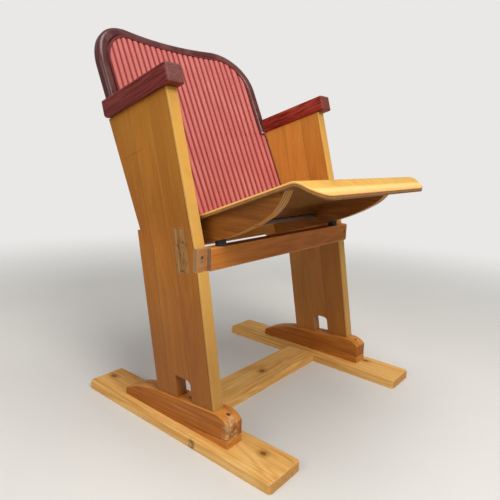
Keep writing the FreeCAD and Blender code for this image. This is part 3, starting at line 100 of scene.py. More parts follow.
class Shader:
    """A node material, with short calls for the nodes that the finishes need."""

    def __init__(self, name):
        self.material = bpy.data.materials.new(name)
        self.material.use_nodes = True
        self.tree = self.material.node_tree
        self.tree.nodes.clear()
        self.out = self.add("OutputMaterial")
        self.bsdf = self.add("BsdfPrincipled")
        self.tree.links.new(self.bsdf.outputs[0], self.out.inputs[0])
        where = self.add("TexCoord")
        self.point = where.outputs["Object"]
        self.normal = where.outputs["Normal"]

    def add(self, kind, *values):
        """A new node, with its first inputs linked or set."""
        node = self.tree.nodes.new("ShaderNode" + kind)
        for socket, value in zip(node.inputs, values):
            self.put(socket, value)
        return node

    def put(self, socket, value):
        if hasattr(value, "is_output"):
            self.tree.links.new(value, socket)
        else:
            socket.default_value = tuple(value) if isinstance(value, Vector) else value

    def math(self, operation, *values, clamp=False):
        node = self.add("Math", *values)
        node.operation = operation
        node.use_clamp = clamp
        return node.outputs[0]

    def times(self, first, *others):
        for other in others:
            first = self.math("MULTIPLY", first, other)
        return first

    def scaled(self, value, factor, offset=0.0):
        return self.math("MULTIPLY_ADD", value, factor, offset)

    def length(self, a, b):
        """How long two steps at right angles are together."""
        return self.math("SQRT", self.math("ADD", self.times(a, a), self.times(b, b)))

    def choose(self, factor, a, b):
        """a where the factor is 0, and b where it is 1."""
        kept = self.times(self.math("SUBTRACT", 1.0, factor), a)
        return self.math("ADD", kept, self.times(factor, b))

    def span(self, value, low, high):
        """0 at low and 1 at high, smoothed between them. high may be below low."""
        node = self.add("MapRange", value, low, high)
        node.interpolation_type = "SMOOTHSTEP"
        return node.outputs[0]

    def within(self, value, low, high, blur):
        """1 between low and high, faded inwards by blur at both."""
        return self.times(self.span(value, low, low + blur), self.span(value, high, high - blur))

    def line(self, value, half, blur):
        """1 where the value is within half of 0, faded outwards by blur."""
        return self.span(self.math("ABSOLUTE", value), half + blur, half)

    def vector(self, x, y, z):
        return self.add("CombineXYZ", x, y, z).outputs[0]

    def split(self, vector):
        return self.add("SeparateXYZ", vector).outputs[:3]

    def dot(self, a, b):
        node = self.add("VectorMath", a, b)
        node.operation = "DOT_PRODUCT"
        return node.outputs["Value"]

    def stretch(self, vector, scales):
        """A vector with each of its parts multiplied by a scale of its own."""
        node = self.add("VectorMath", vector, scales)
        node.operation = "MULTIPLY"
        return node.outputs[0]

    def noise(self, vector, scale=1.0, detail=4.0, rough=0.5, bend=0.0):
        node = self.add("TexNoise", vector)
        node.inputs["Scale"].default_value = scale
        node.inputs["Detail"].default_value = detail
        node.inputs["Roughness"].default_value = rough
        node.inputs["Distortion"].default_value = bend
        return node.outputs[0]

    def cracks(self, scales, wide):
        """1 on a net of cracks. scales give its cells per metre along X, Y and Z."""
        node = self.add("TexVoronoi", self.stretch(self.point, scales))
        node.feature = "DISTANCE_TO_EDGE"
        node.inputs["Scale"].default_value = 1.0
        return self.span(node.outputs["Distance"], wide, 0.0)

    def random_step(self, value):
        """A random number from 0 to 1 for each value."""
        node = self.add("TexWhiteNoise")
        node.noise_dimensions = "1D"
        self.put(node.inputs["W"], value)
        return node.outputs["Value"]

    def mix(self, factor, a, b):
        """Colour a where the factor is 0, and colour b where it is 1."""
        node = self.add("Mix", factor)
        node.data_type = "RGBA"
        for socket, colour in ((node.inputs[6], a), (node.inputs[7], b)):
            self.put(socket, rgb(*colour) if isinstance(colour, tuple) else colour)
        return node.outputs[2]

    def tint(self, colour, other, amount, strength):
        """A colour moved towards another by an amount times a strength."""
        return self.mix(self.scaled(amount, strength), colour, other)

    def ramp(self, factor, stops):
        node = self.add("ValToRGB", factor)
        marks = node.color_ramp.elements
        while len(marks) < len(stops):
            marks.new(0.5)
        for mark, (place, colour) in zip(marks, stops):
            mark.position = place
            mark.color = rgb(*colour)
        return node.outputs[0]

    def worn_edge(self, radius):
        """How close a point is to a sharp edge, from 0 to 1."""
        bevel = self.add("Bevel")
        bevel.samples = 6
        bevel.inputs["Radius"].default_value = radius
        plain = self.add("NewGeometry")
        bent = self.math("SUBTRACT", 1.0, self.dot(bevel.outputs[0], plain.outputs["Normal"]))
        return self.span(bent, 0.01, 0.14)

    def attribute(self, name):
        node = self.add("Attribute")
        node.attribute_name = name
        return node.outputs["Fac"]

    def facing(self, direction, low=0.6, high=0.85):
        """How far the surface faces a direction or its opposite, from 0 to 1."""
        return self.span(self.math("ABSOLUTE", self.dot(self.normal, direction)), low, high)

    def finish(self, colour, rough, height, depth, **numbers):
        """The material. numbers are the shader's other inputs, with _ for each space."""
        self.put(self.bsdf.inputs["Base Color"], colour)
        self.put(self.bsdf.inputs["Roughness"], rough)
        for name, value in numbers.items():
            self.bsdf.inputs[name.replace("_", " ")].default_value = value
        bump = self.add("Bump")
        bump.inputs["Strength"].default_value = 1.0
        bump.inputs["Distance"].default_value = depth
        self.put(bump.inputs["Height"], height)
        self.put(self.bsdf.inputs["Normal"], bump.outputs[0])
        return self.material


# Timber. The rates are features per metre, and a stretch makes them longer along the grain.
BAND_STRETCH = 0.09
BAND_RATE = 62.0
STREAK_STRETCH = 0.022
PATCH_RATES = (9.0, 3.0, 9.0)
PORE_RATES = (1500.0, 45.0, 1500.0)
END_RING_RATE = 90.0
BAND_SHARE = 0.22
STREAK_SHARE = 1.1
PATCH_SHARE = 0.55


def wood(
    name,
    tones,
    along,
    across,
    rough=0.5,
    seed=0.0,
    coarse=14.0,
    ridges=320.0,
    contrast=1.0,
    edge=None,
    edge_radius=0.003,
    edge_amount=0.6,
    end=None,
    coat=0.0,
    depth=0.0004,
    extra=None,
):
    """Solid timber: growth bands, streaks along the grain, pores, dirt and worn edges.

    tones are its dark, middle and light colours, edge and end those of worn edges and of end
    grain. extra adds marks of the piece's own to the colour and the height.
    """
    s = Shader(name)
    dark, middle, light = tones
    side = s.dot(s.point, across)
    place = s.math("ADD", s.dot(s.point, along), seed)
    grain = s.vector(side, place, s.dot(s.point, along.cross(across)))
    swirl = s.noise(s.stretch(grain, (coarse, coarse * BAND_STRETCH, coarse)), 1.0, 3.0, 0.5, 0.6)
    bands = s.scaled(s.math("SINE", s.scaled(swirl, BAND_RATE)), 0.5, 0.5)
    streak_rates = (ridges, ridges * STREAK_STRETCH, ridges)
    streak = s.noise(s.stretch(grain, streak_rates), 1.0, 5.0, 0.62)
    patch = s.noise(s.stretch(grain, PATCH_RATES))
    pore = s.span(s.noise(s.stretch(grain, PORE_RATES), 1.0, 2.0), 0.62, 0.74)
    banded = s.scaled(bands, BAND_SHARE * contrast)
    tone = s.math("ADD", banded, s.scaled(streak, STREAK_SHARE * contrast))
    centre = 0.5 - PATCH_SHARE / 2 - (BAND_SHARE + STREAK_SHARE) / 2 * contrast
    tone = s.math("ADD", tone, s.scaled(patch, PATCH_SHARE, centre))
    colour = s.ramp(tone, [(0.22, dark), (0.5, middle), (0.8, light)])
    colour = s.tint(colour, dark, pore, 0.4)
    height = s.math("SUBTRACT", s.scaled(streak, 0.9), s.scaled(pore, 0.45))
    shine = s.scaled(patch, 0.28, rough - 0.14)
    shine = s.math("ADD", shine, s.scaled(streak, 0.14, -0.07), clamp=True)
    if end is not None:
        rings = s.math("SINE", s.scaled(s.noise(s.point, 26.0, 3.0, 0.5, 0.8), END_RING_RATE))
        end_grain = s.mix(s.scaled(rings, 0.25, 0.35), end, dark)
        on_end = s.facing(along)
        colour = s.mix(on_end, colour, end_grain)
        shine = s.math("MAXIMUM", shine, s.scaled(on_end, rough + 0.2))
    if edge is not None:
        scuffs = s.span(s.noise(s.point, 55.0, 5.0, 0.65), 0.38, 0.62)
        rub = s.times(s.worn_edge(edge_radius), s.scaled(scuffs, 0.75, 0.25))
        colour = s.tint(colour, edge, rub, edge_amount)
    if extra is not None:
        colour, height = extra(s, colour, height)
    dirt = s.span(s.noise(s.point, 17.0, 6.0, 0.7), 0.5, 0.72)
    colour = s.tint(colour, dark, dirt, 0.16)
    return s.finish(
        colour, shine, height, depth, Coat_Weight=coat, Coat_Roughness=0.2, Specular_IOR_Level=0.22
    )


# Side panels: upright staves of differing tone, with a paler front edge behind a dark line.
# The front edge is two straight runs, each a point (y, z) and its slope. The panels darken
# from their middle height down, as painted shade, and turn yellower up from it. The near one
# has a scratch.
PANEL_LEAN = 78
LOW_EDGE = (-0.0703, 0.3545, 0.1746)
HIGH_EDGE = (-0.0703, 0.3545, 0.2755)
STAVE = 0.062
EDGE_STRIP = 0.0052
PANEL_MIDDLE = 0.36
PANEL_SHADE_Z = 0.14
PANEL_YELLOW_Z = 0.62
OUTER_FACE = -0.264
SCRATCH_Y = 0.117
SCRATCH_Z = 0.5361
SCRATCH_SLOPE = -0.32
SCRATCH_HALF = 0.036


def panel_marks(s, colour, height):
    x, y, z = s.split(s.point)
    fronts = [
        s.scaled(z, slope, start_y - start_z * slope)
        for start_y, start_z, slope in (LOW_EDGE, HIGH_EDGE)
    ]
    behind = s.math("SUBTRACT", y, s.math("MAXIMUM", *fronts))
    wobble = s.noise(s.stretch(s.point, (0.0, 0.0, 6.0)), 1.0, 2.0)
    stave = s.math("DIVIDE", s.math("ADD", behind, s.scaled(wobble, 0.003)), STAVE)
    number = s.math("ADD", s.math("FLOOR", stave), s.math("SIGN", x))
    stave_tone = s.random_step(s.scaled(number, 1.37, 4.1))
    colour = s.tint(colour, (138, 76, 20), stave_tone, 0.5)
    fleck = s.span(s.noise(s.stretch(s.point, (700.0, 700.0, 190.0)), 1.0, 2.0), 0.6, 0.72)
    colour = s.tint(colour, (128, 70, 22), fleck, 0.3)
    seam = s.span(s.math("PINGPONG", stave, 0.5), 0.016, 0.0)
    colour = s.tint(colour, (50, 24, 8), seam, 0.55)
    strip = s.span(behind, EDGE_STRIP + 0.0004, EDGE_STRIP - 0.0007)
    colour = s.tint(colour, (246, 200, 108), strip, 0.55)
    line = s.line(s.math("SUBTRACT", behind, EDGE_STRIP), 0.0003, 0.0008)
    colour = s.tint(colour, (70, 34, 12), line, 0.8)
    # Painted shade: darker from the middle height down.
    colour = s.tint(colour, (112, 58, 14), s.span(z, PANEL_MIDDLE, PANEL_SHADE_Z), 0.38)
    colour = s.tint(colour, (208, 148, 48), s.span(z, PANEL_MIDDLE, PANEL_YELLOW_Z), 0.25)
    waver = s.scaled(s.noise(s.point, 110.0, 3.0), 0.006, -0.003)
    scratch_z = s.scaled(y, SCRATCH_SLOPE, SCRATCH_Z - SCRATCH_Y * SCRATCH_SLOPE)
    off_scratch = s.math("ADD", s.math("SUBTRACT", z, scratch_z), waver)
    from_middle = s.math("ABSOLUTE", s.math("SUBTRACT", y, SCRATCH_Y))
    scratch = s.times(
        s.line(off_scratch, 0.0002, 0.0007),
        s.span(from_middle, SCRATCH_HALF, SCRATCH_HALF * 0.8),
        s.math("LESS_THAN", x, OUTER_FACE),
    )
    colour = s.tint(colour, (92, 52, 18), scratch, 0.55)
    return colour, s.math("SUBTRACT", height, s.scaled(s.math("MAXIMUM", seam, line), 0.8))


def panel_wood(name, seed, *tones):
    return wood(
        name,
        tones,
        tilted(PANEL_LEAN),
        tilted(PANEL_LEAN - 90),
        rough=0.42,
        seed=seed,
        contrast=0.36,
        edge=(240, 180, 80),
        edge_amount=0.5,
        end=(150, 95, 35),
        coat=0.05,
        extra=panel_marks,
    )


# Pine base: pale boards with knots, and a dark stain on the near runner's outer edge.
# A knot is its place in x and y, its radius, and how far it is drawn out in x and y.
BASE_TOP = 0.020
STAIN_X = (-0.262, -0.284)
STAIN_FRONT = -0.094
STAIN_BACK = -0.071
NEAR_KNOTS = [(-0.231, -0.209, 0.006, 1.0, 1.2), (-0.239, 0.235, 0.006, 1.0, 1.5)]
FAR_KNOTS = [(0.262, -0.165, 0.006, 1.0, 1.4), (0.232, 0.12, 0.008, 1.0, 1.2)]
BAR_KNOTS = [(0.025, -0.003, 0.006, 1.5, 1.0)]


def pine(name, along, across, seed, knots, stained=False):
    def marks(s, colour, height):
        x, y, z = s.split(s.point)
        top = s.span(z, BASE_TOP - 0.008, BASE_TOP - 0.001)
        for knot_x, knot_y, radius, stretch_x, stretch_y in knots:
            off_x = s.scaled(x, 1 / stretch_x, -knot_x / stretch_x)
            off_y = s.scaled(y, 1 / stretch_y, -knot_y / stretch_y)
            uneven = s.scaled(s.noise(s.point, 120.0, 3.0), 0.004, -0.002)
            far = s.math("ADD", s.length(off_x, off_y), uneven)
            rings = s.scaled(s.math("SINE", s.scaled(far, 1500.0)), 0.5, 0.5)
            halo = s.times(s.span(far, radius * 2.6, radius), s.scaled(rings, 0.45, 0.3), top)
            colour = s.mix(halo, colour, (162, 100, 44))
            heart = s.times(s.span(far, radius, radius * 0.7), top)
            colour = s.tint(colour, (104, 60, 28), heart, 0.75)
        if stained:
            stain = s.times(
                s.within(y, STAIN_FRONT, STAIN_BACK, 0.008),
                s.span(x, *STAIN_X),
                s.span(z, BASE_TOP + 0.001, BASE_TOP - 0.004),
                s.span(s.noise(s.point, 130.0, 4.0), 0.34, 0.56),
            )
            colour = s.tint(colour, (84, 54, 32), stain, 0.8)
        return colour, height

    return wood(
        name,
        ((178, 118, 58), (222, 168, 92), (246, 204, 132)),
        along,
        across,
        rough=0.6,
        seed=seed,
        coarse=17.0,
        contrast=0.65,
        edge=(252, 220, 160),
        edge_amount=0.55,
        end=(208, 160, 96),
        depth=0.0003,
        extra=marks,
    )


# Feet: honey brown with rubbed tops, a dark line of painted shade along the joint over the
# wedge, and a pale scuff with cracks on the near nose
WEDGE_TIP_Y = -0.017
WEDGE_SLOPE = 0.1254
SCUFF_X = (-0.236, -0.246)
SCUFF_Y = (-0.138, -0.15)


def foot_marks(s, colour, height):
    x, y, z = s.split(s.point)
    over_wedge = s.math("MAXIMUM", s.scaled(y, -1.0, WEDGE_TIP_Y), 0.0)
    from_joint = s.math("SUBTRACT", z, s.scaled(over_wedge, WEDGE_SLOPE, BASE_TOP))
    # Painted shade: a dark line along the foot's joint with the runner and the wedge.
    colour = s.tint(colour, (58, 30, 12), s.span(from_joint, 0.0016, 0.0005), 0.75)
    up = s.span(s.dot(s.normal, Z_DIR), 0.35, 0.9)
    rubbed = s.span(s.noise(s.stretch(s.point, (40.0, 9.0, 0.0))), 0.4, 0.6)
    colour = s.mix(s.times(up, s.scaled(rubbed, 0.4, 0.2)), colour, (226, 156, 76))
    blot = s.span(s.noise(s.point, 70.0, 4.0), 0.44, 0.56)
    scuff = s.times(s.span(y, *SCUFF_Y), s.span(x, *SCUFF_X), blot)
    colour = s.tint(colour, (222, 184, 136), scuff, 0.65)
    crack = s.times(s.cracks((90.0, 60.0, 130.0), 0.06), scuff)
    colour = s.tint(colour, (76, 48, 30), crack, 0.8)
    return colour, s.math("SUBTRACT", height, crack)


# Armrests: dark red stain over deep lengthwise ridges, with worn greyish ends
ARM_FALL = -16.8


def arm_wood(name, seed, end, *tones):
    return wood(
        name,
        tones,
        tilted(ARM_FALL),
        X_DIR,
        rough=0.42,
        seed=seed,
        coarse=30.0,
        ridges=260.0,
        edge=(176, 110, 92),
        edge_amount=0.55,
        edge_radius=0.004,
        end=end,
        coat=0.06,
        depth=0.0008,
    )


# Plywood: a face veneer, and layers that show on its edges
def layered(name, depth_of, thick, tones, underside_shade, layers, along, across, **look):
    """A ply board.

    depth_of gives the depth below the board's face, and how far a point is on an edge and on
    the underside. The underside's colour is painted shade, and layers are the edges' colours.
    """

    def marks(s, colour, height):
        deep, on_edge, on_shaded_underside = depth_of(s)
        # Painted shade: the underside is tinted towards a dark colour.
        colour = s.tint(colour, underside_shade, on_shaded_underside, 0.86)
        uneven = s.scaled(s.noise(s.point, 90.0, 2.0), 0.08, -0.04)
        ply = s.math("ADD", s.scaled(deep, 1 / thick), uneven)
        stops = []
        for k, layer in enumerate(layers):
            stops.append((k / len(layers) + 0.02, layer))
            stops.append(((k + 1) / len(layers) - 0.02, layer))
        stripe = s.tint(s.ramp(ply, stops), layers[1], s.noise(s.point, 150.0, 3.0), 0.3)
        return s.mix(on_edge, colour, stripe), height

    return wood(name, tones, along, across, extra=marks, **look)


# Seat board: a sloping sheet with a round crest at its front and a straight lip
SEAT_SLOPE = 20.0
SEAT_POINT = (-0.040, 0.4326)
CREST_Y = -0.2468
CREST_RADIUS = 0.030
LIP_POINT = (-0.2915, 0.4860)
SEAT_THICK = 0.009


def seat_depth(s):
    y, z = s.split(s.point)[1:]
    up = tilted(90 - SEAT_SLOPE)
    start = up.dot(Vector((0, *SEAT_POINT)))
    slope_deep = s.math("SUBTRACT", start, s.dot(s.point, up))
    crest_z = (start - up.y * (CREST_Y + CREST_RADIUS * up.y)) / up.z - CREST_RADIUS * up.z
    reach = s.length(s.math("SUBTRACT", y, CREST_Y), s.math("SUBTRACT", z, crest_z))
    round_deep = s.math("SUBTRACT", CREST_RADIUS, reach)
    fall = math.atan2(crest_z + CREST_RADIUS - LIP_POINT[1], CREST_Y - LIP_POINT[0])
    lip_up = Vector((0, -math.sin(fall), math.cos(fall)))
    lip_start = lip_up.dot(Vector((0, CREST_Y, crest_z))) + CREST_RADIUS
    lip_deep = s.math("SUBTRACT", lip_start, s.dot(s.point, lip_up))
    middle_radius = CREST_RADIUS - SEAT_THICK / 2
    on_round = s.math("LESS_THAN", y, CREST_Y + middle_radius * up.y)
    on_lip = s.math("LESS_THAN", y, CREST_Y - middle_radius * math.sin(fall))
    deep = s.choose(on_lip, s.choose(on_round, slope_deep, round_deep), lip_deep)
    on_edge = s.within(deep, 0.0007, SEAT_THICK - 0.0006, 0.0005)
    # This mask marks the underside, where painted shade goes.
    on_shaded_underside = s.span(deep, SEAT_THICK - 0.0011, SEAT_THICK - 0.0006)
    return deep, on_edge, on_shaded_underside


# Brackets: upright boards, front to back, whose layers show where they don't face sideways
BRACKET_THICK = 0.024
BRACKET_MIDDLE = 0.205


def bracket_depth(s):
    from_centre = s.math("ABSOLUTE", s.split(s.point)[0])
    deep = s.math("SUBTRACT", from_centre, BRACKET_MIDDLE - BRACKET_THICK / 2)
    return deep, s.facing(X_DIR, 0.7, 0.5), 0.0


# Backrest board: curved across, and leaning back
BACK_LEAN = 24.5
BACK_OUT = tilted(-BACK_LEAN)
BACK_UP = tilted(90 - BACK_LEAN)
BACK_ORIGIN = Vector((0, 0.09265, 0.389))
BACK_RADIUS = 0.864
BACK_SAG = 0.03386
BACK_THICK = 0.009


def from_back_axis(s):
    """Distance from the line that the backrest is curved round."""
    axis = BACK_ORIGIN.dot(BACK_OUT) + BACK_SAG - BACK_RADIUS
    return s.length(s.split(s.point)[0], s.math("SUBTRACT", s.dot(s.point, BACK_OUT), axis))


def back_depth(s):
    deep = s.math("SUBTRACT", from_back_axis(s), BACK_RADIUS)
    return deep, s.within(deep, 0.0002, BACK_THICK - 0.0002, 0.0004), 0.0


def moulding_marks(s, colour, height):
    """A paler front in patches, partly painted highlight and partly rubbed, and paler lower ends.
    """
    front = s.math("SUBTRACT", BACK_RADIUS, from_back_axis(s))
    rubbed = s.times(
        s.span(front, 0.005, 0.0078), s.span(s.noise(s.point, 22.0, 5.0), 0.4, 0.62)
    )
    # Painted highlight, in part with wear: the moulding's front is paler in patches.
    colour = s.tint(colour, (150, 104, 98), rubbed, 0.2)
    up = s.math("SUBTRACT", s.dot(s.point, BACK_UP), BACK_ORIGIN.dot(BACK_UP))
    # Paler at the moulding's lower ends.
    return s.tint(colour, (206, 164, 128), s.span(up, 0.2385, 0.2355), 0.7), height


# Front rail: pale arrises on its face, and greyed ends
RAIL_LOW = 0.333
RAIL_TOP = 0.376
RAIL_NEAR_END = (-0.2393, -0.2405)
RAIL_FAR_END = (0.2605, 0.2645)


def rail_marks(s, colour, height):
    x, _, z = s.split(s.point)
    high = s.span(z, RAIL_TOP - 0.0035, RAIL_TOP - 0.0005)
    arris = s.math("MAXIMUM", high, s.span(z, RAIL_LOW + 0.0035, RAIL_LOW + 0.0005))
    face = s.span(s.dot(s.normal, Y_DIR), -0.2, -0.6)
    colour = s.tint(colour, (236, 190, 130), s.times(arris, face), 0.35)
    ends = s.math("MAXIMUM", s.span(x, *RAIL_NEAR_END), s.span(x, *RAIL_FAR_END))
    return s.tint(colour, (168, 134, 100), ends, 0.5), height


# Key blocks: leaning with the panels, and cracked along their grain
KEY_LEAN = 8.7


def key_marks(s, colour, height):
    crack = s.times(
        s.cracks((60.0, 160.0, 34.0), 0.07), s.span(s.noise(s.point, 40.0, 3.0), 0.42, 0.6)
    )
    colour = s.tint(colour, (46, 34, 26), crack, 0.85)
    return colour, s.math("SUBTRACT", height, s.scaled(crack, 1.4))


def worn_solid(name, plain, worn, scale, rough, metal=0.0, depth=0.0002):
    """Rubber or metal in two tones, with a fine grit."""
    s = Shader(name)
    patch = s.noise(s.point, scale, 5.0, 0.6)
    grit = s.noise(s.point, scale * 9, 3.0, 0.6)
    colour = s.mix(s.span(patch, 0.42, 0.68), plain, worn)
    gritty = s.scaled(grit, 0.12, -0.06)
    shine = s.math("ADD", s.scaled(patch, 0.3, rough - 0.15), gritty, clamp=True)
    return s.finish(colour, shine, grit, depth, Metallic=metal)


# Finishes of the CAD nodes, by name
FINISHES = {
    "side_panel_left": panel_wood(
        "panel_wood_far", 0.3, (170, 106, 42), (222, 152, 74), (240, 178, 98)
    ),
    "side_panel_right": panel_wood(
        "panel_wood_near", 5.0, (150, 88, 22), (200, 126, 42), (226, 156, 62)
    ),
    "armrest_left": arm_wood(
        "armrest_wood_far", 0.7, (132, 72, 62), (80, 18, 12), (134, 38, 28), (172, 82, 62)
    ),
    "armrest_right": arm_wood(
        "armrest_wood_near", 3.1, (132, 84, 80), (78, 22, 19), (120, 43, 38), (146, 70, 62)
    ),
    "runner_left": pine("pine_far", Y_DIR, X_DIR, 1.7, FAR_KNOTS),
    "runner_right": pine("pine_near", Y_DIR, X_DIR, 8.2, NEAR_KNOTS, stained=True),
    "base_crossbar": pine("pine_bar", X_DIR, Y_DIR, 4.4, BAR_KNOTS),
    "front_rail": wood(
        "rail_wood_finish",
        ((140, 74, 18), (190, 110, 36), (216, 140, 58)),
        X_DIR,
        Z_DIR,
        rough=0.45,
        seed=0.4,
        contrast=0.45,
        edge=(240, 196, 138),
        end=(150, 124, 98),
        extra=rail_marks,
    ),
    "seat_shell": layered(
        "seat_ply_finish",
        seat_depth,
        SEAT_THICK,
        ((196, 138, 50), (218, 168, 72), (228, 186, 92)),
        # Painted shade: the seat's underside colour.
        (86, 40, 14),
        [(250, 205, 130), (236, 180, 104), (120, 70, 34), (150, 96, 50), (96, 54, 26)],
        Y_DIR,
        X_DIR,
        rough=0.36,
        contrast=0.62,
        coat=0.12,
        seed=0.9,
        depth=0.00012,
    ),
    "back_shell": layered(
        "back_ply_finish",
        back_depth,
        BACK_THICK,
        ((112, 68, 30), (168, 112, 56), (200, 146, 84)),
        (140, 90, 44),
        [(208, 150, 86), (130, 80, 38), (216, 160, 96), (124, 76, 36), (204, 146, 82)],
        BACK_UP,
        X_DIR,
        rough=0.45,
        contrast=0.7,
        seed=5.2,
        coat=0.1,
    ),
    "back_moulding": wood(
        "moulding_wood_finish",
        ((50, 20, 20), (78, 34, 34), (96, 46, 44)),
        BACK_UP,
        X_DIR,
        rough=0.3,
        contrast=0.4,
        coat=0.3,
        depth=0.00015,
        extra=moulding_marks,
    ),
}
foot_finish = wood(
    "foot_wood_finish",
    ((118, 60, 16), (172, 100, 34), (210, 142, 62)),
    Y_DIR,
    X_DIR,
    seed=1.1,
    contrast=0.5,
    edge=(240, 186, 104),
    edge_amount=0.7,
    end=(176, 112, 52),
    extra=foot_marks,
)
wedge_finish = wood(
    "wedge_wood_finish",
    ((146, 82, 26), (190, 116, 42), (220, 148, 66)),
    Y_DIR,
    X_DIR,
    seed=6.0,
    contrast=0.5,
    edge=(238, 184, 104),
    end=(222, 154, 72),
)
key_finish = wood(
    "key_wood_finish",
    ((92, 60, 30), (150, 104, 56), (186, 140, 84)),
    tilted(90 - KEY_LEAN),
    tilted(-KEY_LEAN),
    rough=0.75,
    contrast=1.1,
    edge=(70, 50, 38),
    edge_amount=0.5,
    extra=key_marks,
)
bracket_finish = layered(
    "bracket_wood_finish",
    bracket_depth,
    BRACKET_THICK,
    ((106, 56, 16), (156, 94, 34), (184, 120, 50)),
    (120, 66, 20),
    [
        (206, 144, 72),
        (166, 106, 46),
        (212, 150, 78),
        (158, 100, 44),
        (208, 146, 74),
        (164, 104, 46),
        (202, 140, 70),
    ],
    Y_DIR,
    Z_DIR,
    contrast=0.45,
    seed=2.3,
)
dowel_tones = ((190, 150, 96), (216, 180, 126), (234, 204, 156))
dowel_finish = wood("dowel_wood_finish", dowel_tones, X_DIR, Y_DIR, rough=0.6)
rubber = worn_solid("rubber_finish", (26, 27, 31), (52, 54, 60), 60.0, 0.62)
brass = worn_solid(
    "bush_brass_finish", (176, 136, 70), (120, 88, 44), 120.0, 0.35, metal=1.0, depth=0.00005
)
steel = worn_solid(
    "steel_finish", (150, 147, 142), (126, 117, 107), 210.0, 0.42, metal=0.85, depth=0.00003
)

# Finishes by the start of a node's name. The first that fits counts, and the rest is steel.
PREFIXES = [
    ("foot_screws", steel),
    ("foot_", foot_finish),
    ("wedge_", wedge_finish),
    ("pivot_key", key_finish),
    ("seat_bracket", bracket_finish),
    ("seat_brace", bracket_finish),
    ("rubber_buffer", rubber),
    ("tip_stop", rubber),
    ("bracket_bush", brass),
    ("armrest_dowels", dowel_finish),
    ("crossbar_dowels", dowel_finish),
    ("panel_dowels", dowel_finish),
]


def finish_of(node_name):
    if node_name in FINISHES:
        return FINISHES[node_name]
    for prefix, finish in PREFIXES:
        if node_name.startswith(prefix):
            return finish
    return steel


for node_name, node in nodes.items():
    if not node.material_slots:
        node.data.materials.append(None)
    for material_slot in node.material_slots:
        material_slot.material = finish_of(node_name)


# Fluted back pad: sewn channels over a crowned cushion, with a rolled border. It is wide up
# to a step, and narrow above it, where it lies inside the moulding. Heights are along
# BACK_UP, from BACK_ORIGIN.
PAD_HALF = 0.2385
PAD_NARROW = 0.2255
PAD_LOW = 0.0058
PAD_STEP = 0.2335
PAD_TOP = 0.4525
PAD_CORNER = 0.0905
PAD_LOW_CORNER = 0.008
PAD_KNEE = PAD_TOP - PAD_CORNER
PAD_ROLL = 0.0055
PAD_COLUMNS = 520
LOW_CORNER_ROWS = 9
LOW_ROWS = 100
STEP_ROWS = (-0.0002, 0, 0.00002, 0.003)
STEP_CLEAR = 0.006
HIGH_ROWS = 60
CORNER_ROWS = 60
CROWN_MID = 0.01786
CROWN_RADIUS = 1.124
PAD_REAR_RADIUS = 0.8637
FLUTES = 27
FLUTE_PITCH = 2 * PAD_HALF / FLUTES
FLUTE_DEEP = 0.0034
FLUTE_ROUND = 0.62
WAVER = 0.0006
WAVER_RATE = 21
PUCKER = 0.00022
PUCKER_RATE = 330
draw = random.Random(11)
flute_lift = [draw.uniform(-0.0005, 0.0003) for k in range(FLUTES)]
flute_drift = [draw.uniform(-0.0009, 0.0009) for k in range(FLUTES + 1)]
flute_phase = [draw.uniform(0, 6.28) for k in range(FLUTES + 1)]


def back_point(x, out, up):
    return BACK_ORIGIN + X_DIR * x + BACK_OUT * out + BACK_UP * up


def crown(x):
    """How far out the pad's face is, before its flutes and border are sunk."""
    return CROWN_MID - CROWN_RADIUS + math.sqrt(CROWN_RADIUS**2 - x * x)


def rounded(half, corner, rise):
    """Half a width at a rise into a rounded corner."""
    return half - corner + math.sqrt(max(corner**2 - rise**2, 0))


def half_width(up):
    """Half the pad's width at a height."""
    if up <= PAD_LOW + PAD_LOW_CORNER:
        return rounded(PAD_HALF, PAD_LOW_CORNER, PAD_LOW + PAD_LOW_CORNER - up)
    if up <= PAD_STEP:
        return PAD_HALF
    if up <= PAD_KNEE:
        return PAD_NARROW
    return rounded(PAD_NARROW, PAD_CORNER, up - PAD_KNEE)


def border_gap(x, up):
    """Distance from a place on the pad to its nearest border."""
    wide = abs(x)
    gaps = [up - PAD_LOW]
    if up <= PAD_STEP:
        gaps.append(PAD_HALF - wide)
        if wide > PAD_NARROW:
            gaps.append(PAD_STEP - up)
        else:
            gaps.append(math.hypot(PAD_NARROW - wide, PAD_STEP - up))
    elif up > PAD_KNEE and wide > PAD_NARROW - PAD_CORNER:
        gaps.append(PAD_CORNER - math.hypot(wide - PAD_NARROW + PAD_CORNER, up - PAD_KNEE))
    else:
        gaps.append(PAD_NARROW - wide)
        gaps.append(PAD_TOP - up)
    return max(min(gaps), 0.0)


def valley_line(k, up):
    """Where a sewn valley runs at a height, with the small waver of hand sewing."""
    waver = WAVER * math.sin(up * WAVER_RATE + flute_phase[k])
    inside = 0 if k in (0, FLUTES) else 1
    return k * FLUTE_PITCH - PAD_HALF + inside * (flute_drift[k] + waver)


def fluted(x, up):
    """How far the cloth lies behind the crown, and 0 on a flute's crest to 1 in a valley."""
    k = min(max(int((x + PAD_HALF) / FLUTE_PITCH), 0), FLUTES - 1)
    if x < valley_line(k, up) and k > 0:
        k -= 1
    elif x > valley_line(k + 1, up) and k < FLUTES - 1:
        k += 1
    start = valley_line(k, up)
    end = valley_line(k + 1, up)
    t = min(max((x - start) / (end - start), 0.0), 1.0)
    valley = 1 - (4 * t * (1 - t)) ** FLUTE_ROUND
    pucker = PUCKER * math.sin(up * PUCKER_RATE + flute_phase[k] * 3) * valley
    return (FLUTE_DEEP - flute_lift[k]) * valley + pucker, valley


def spread(low, high, count):
    """Even steps from low, up to one short of high."""
    return [low + (high - low) * k / count for k in range(count)]


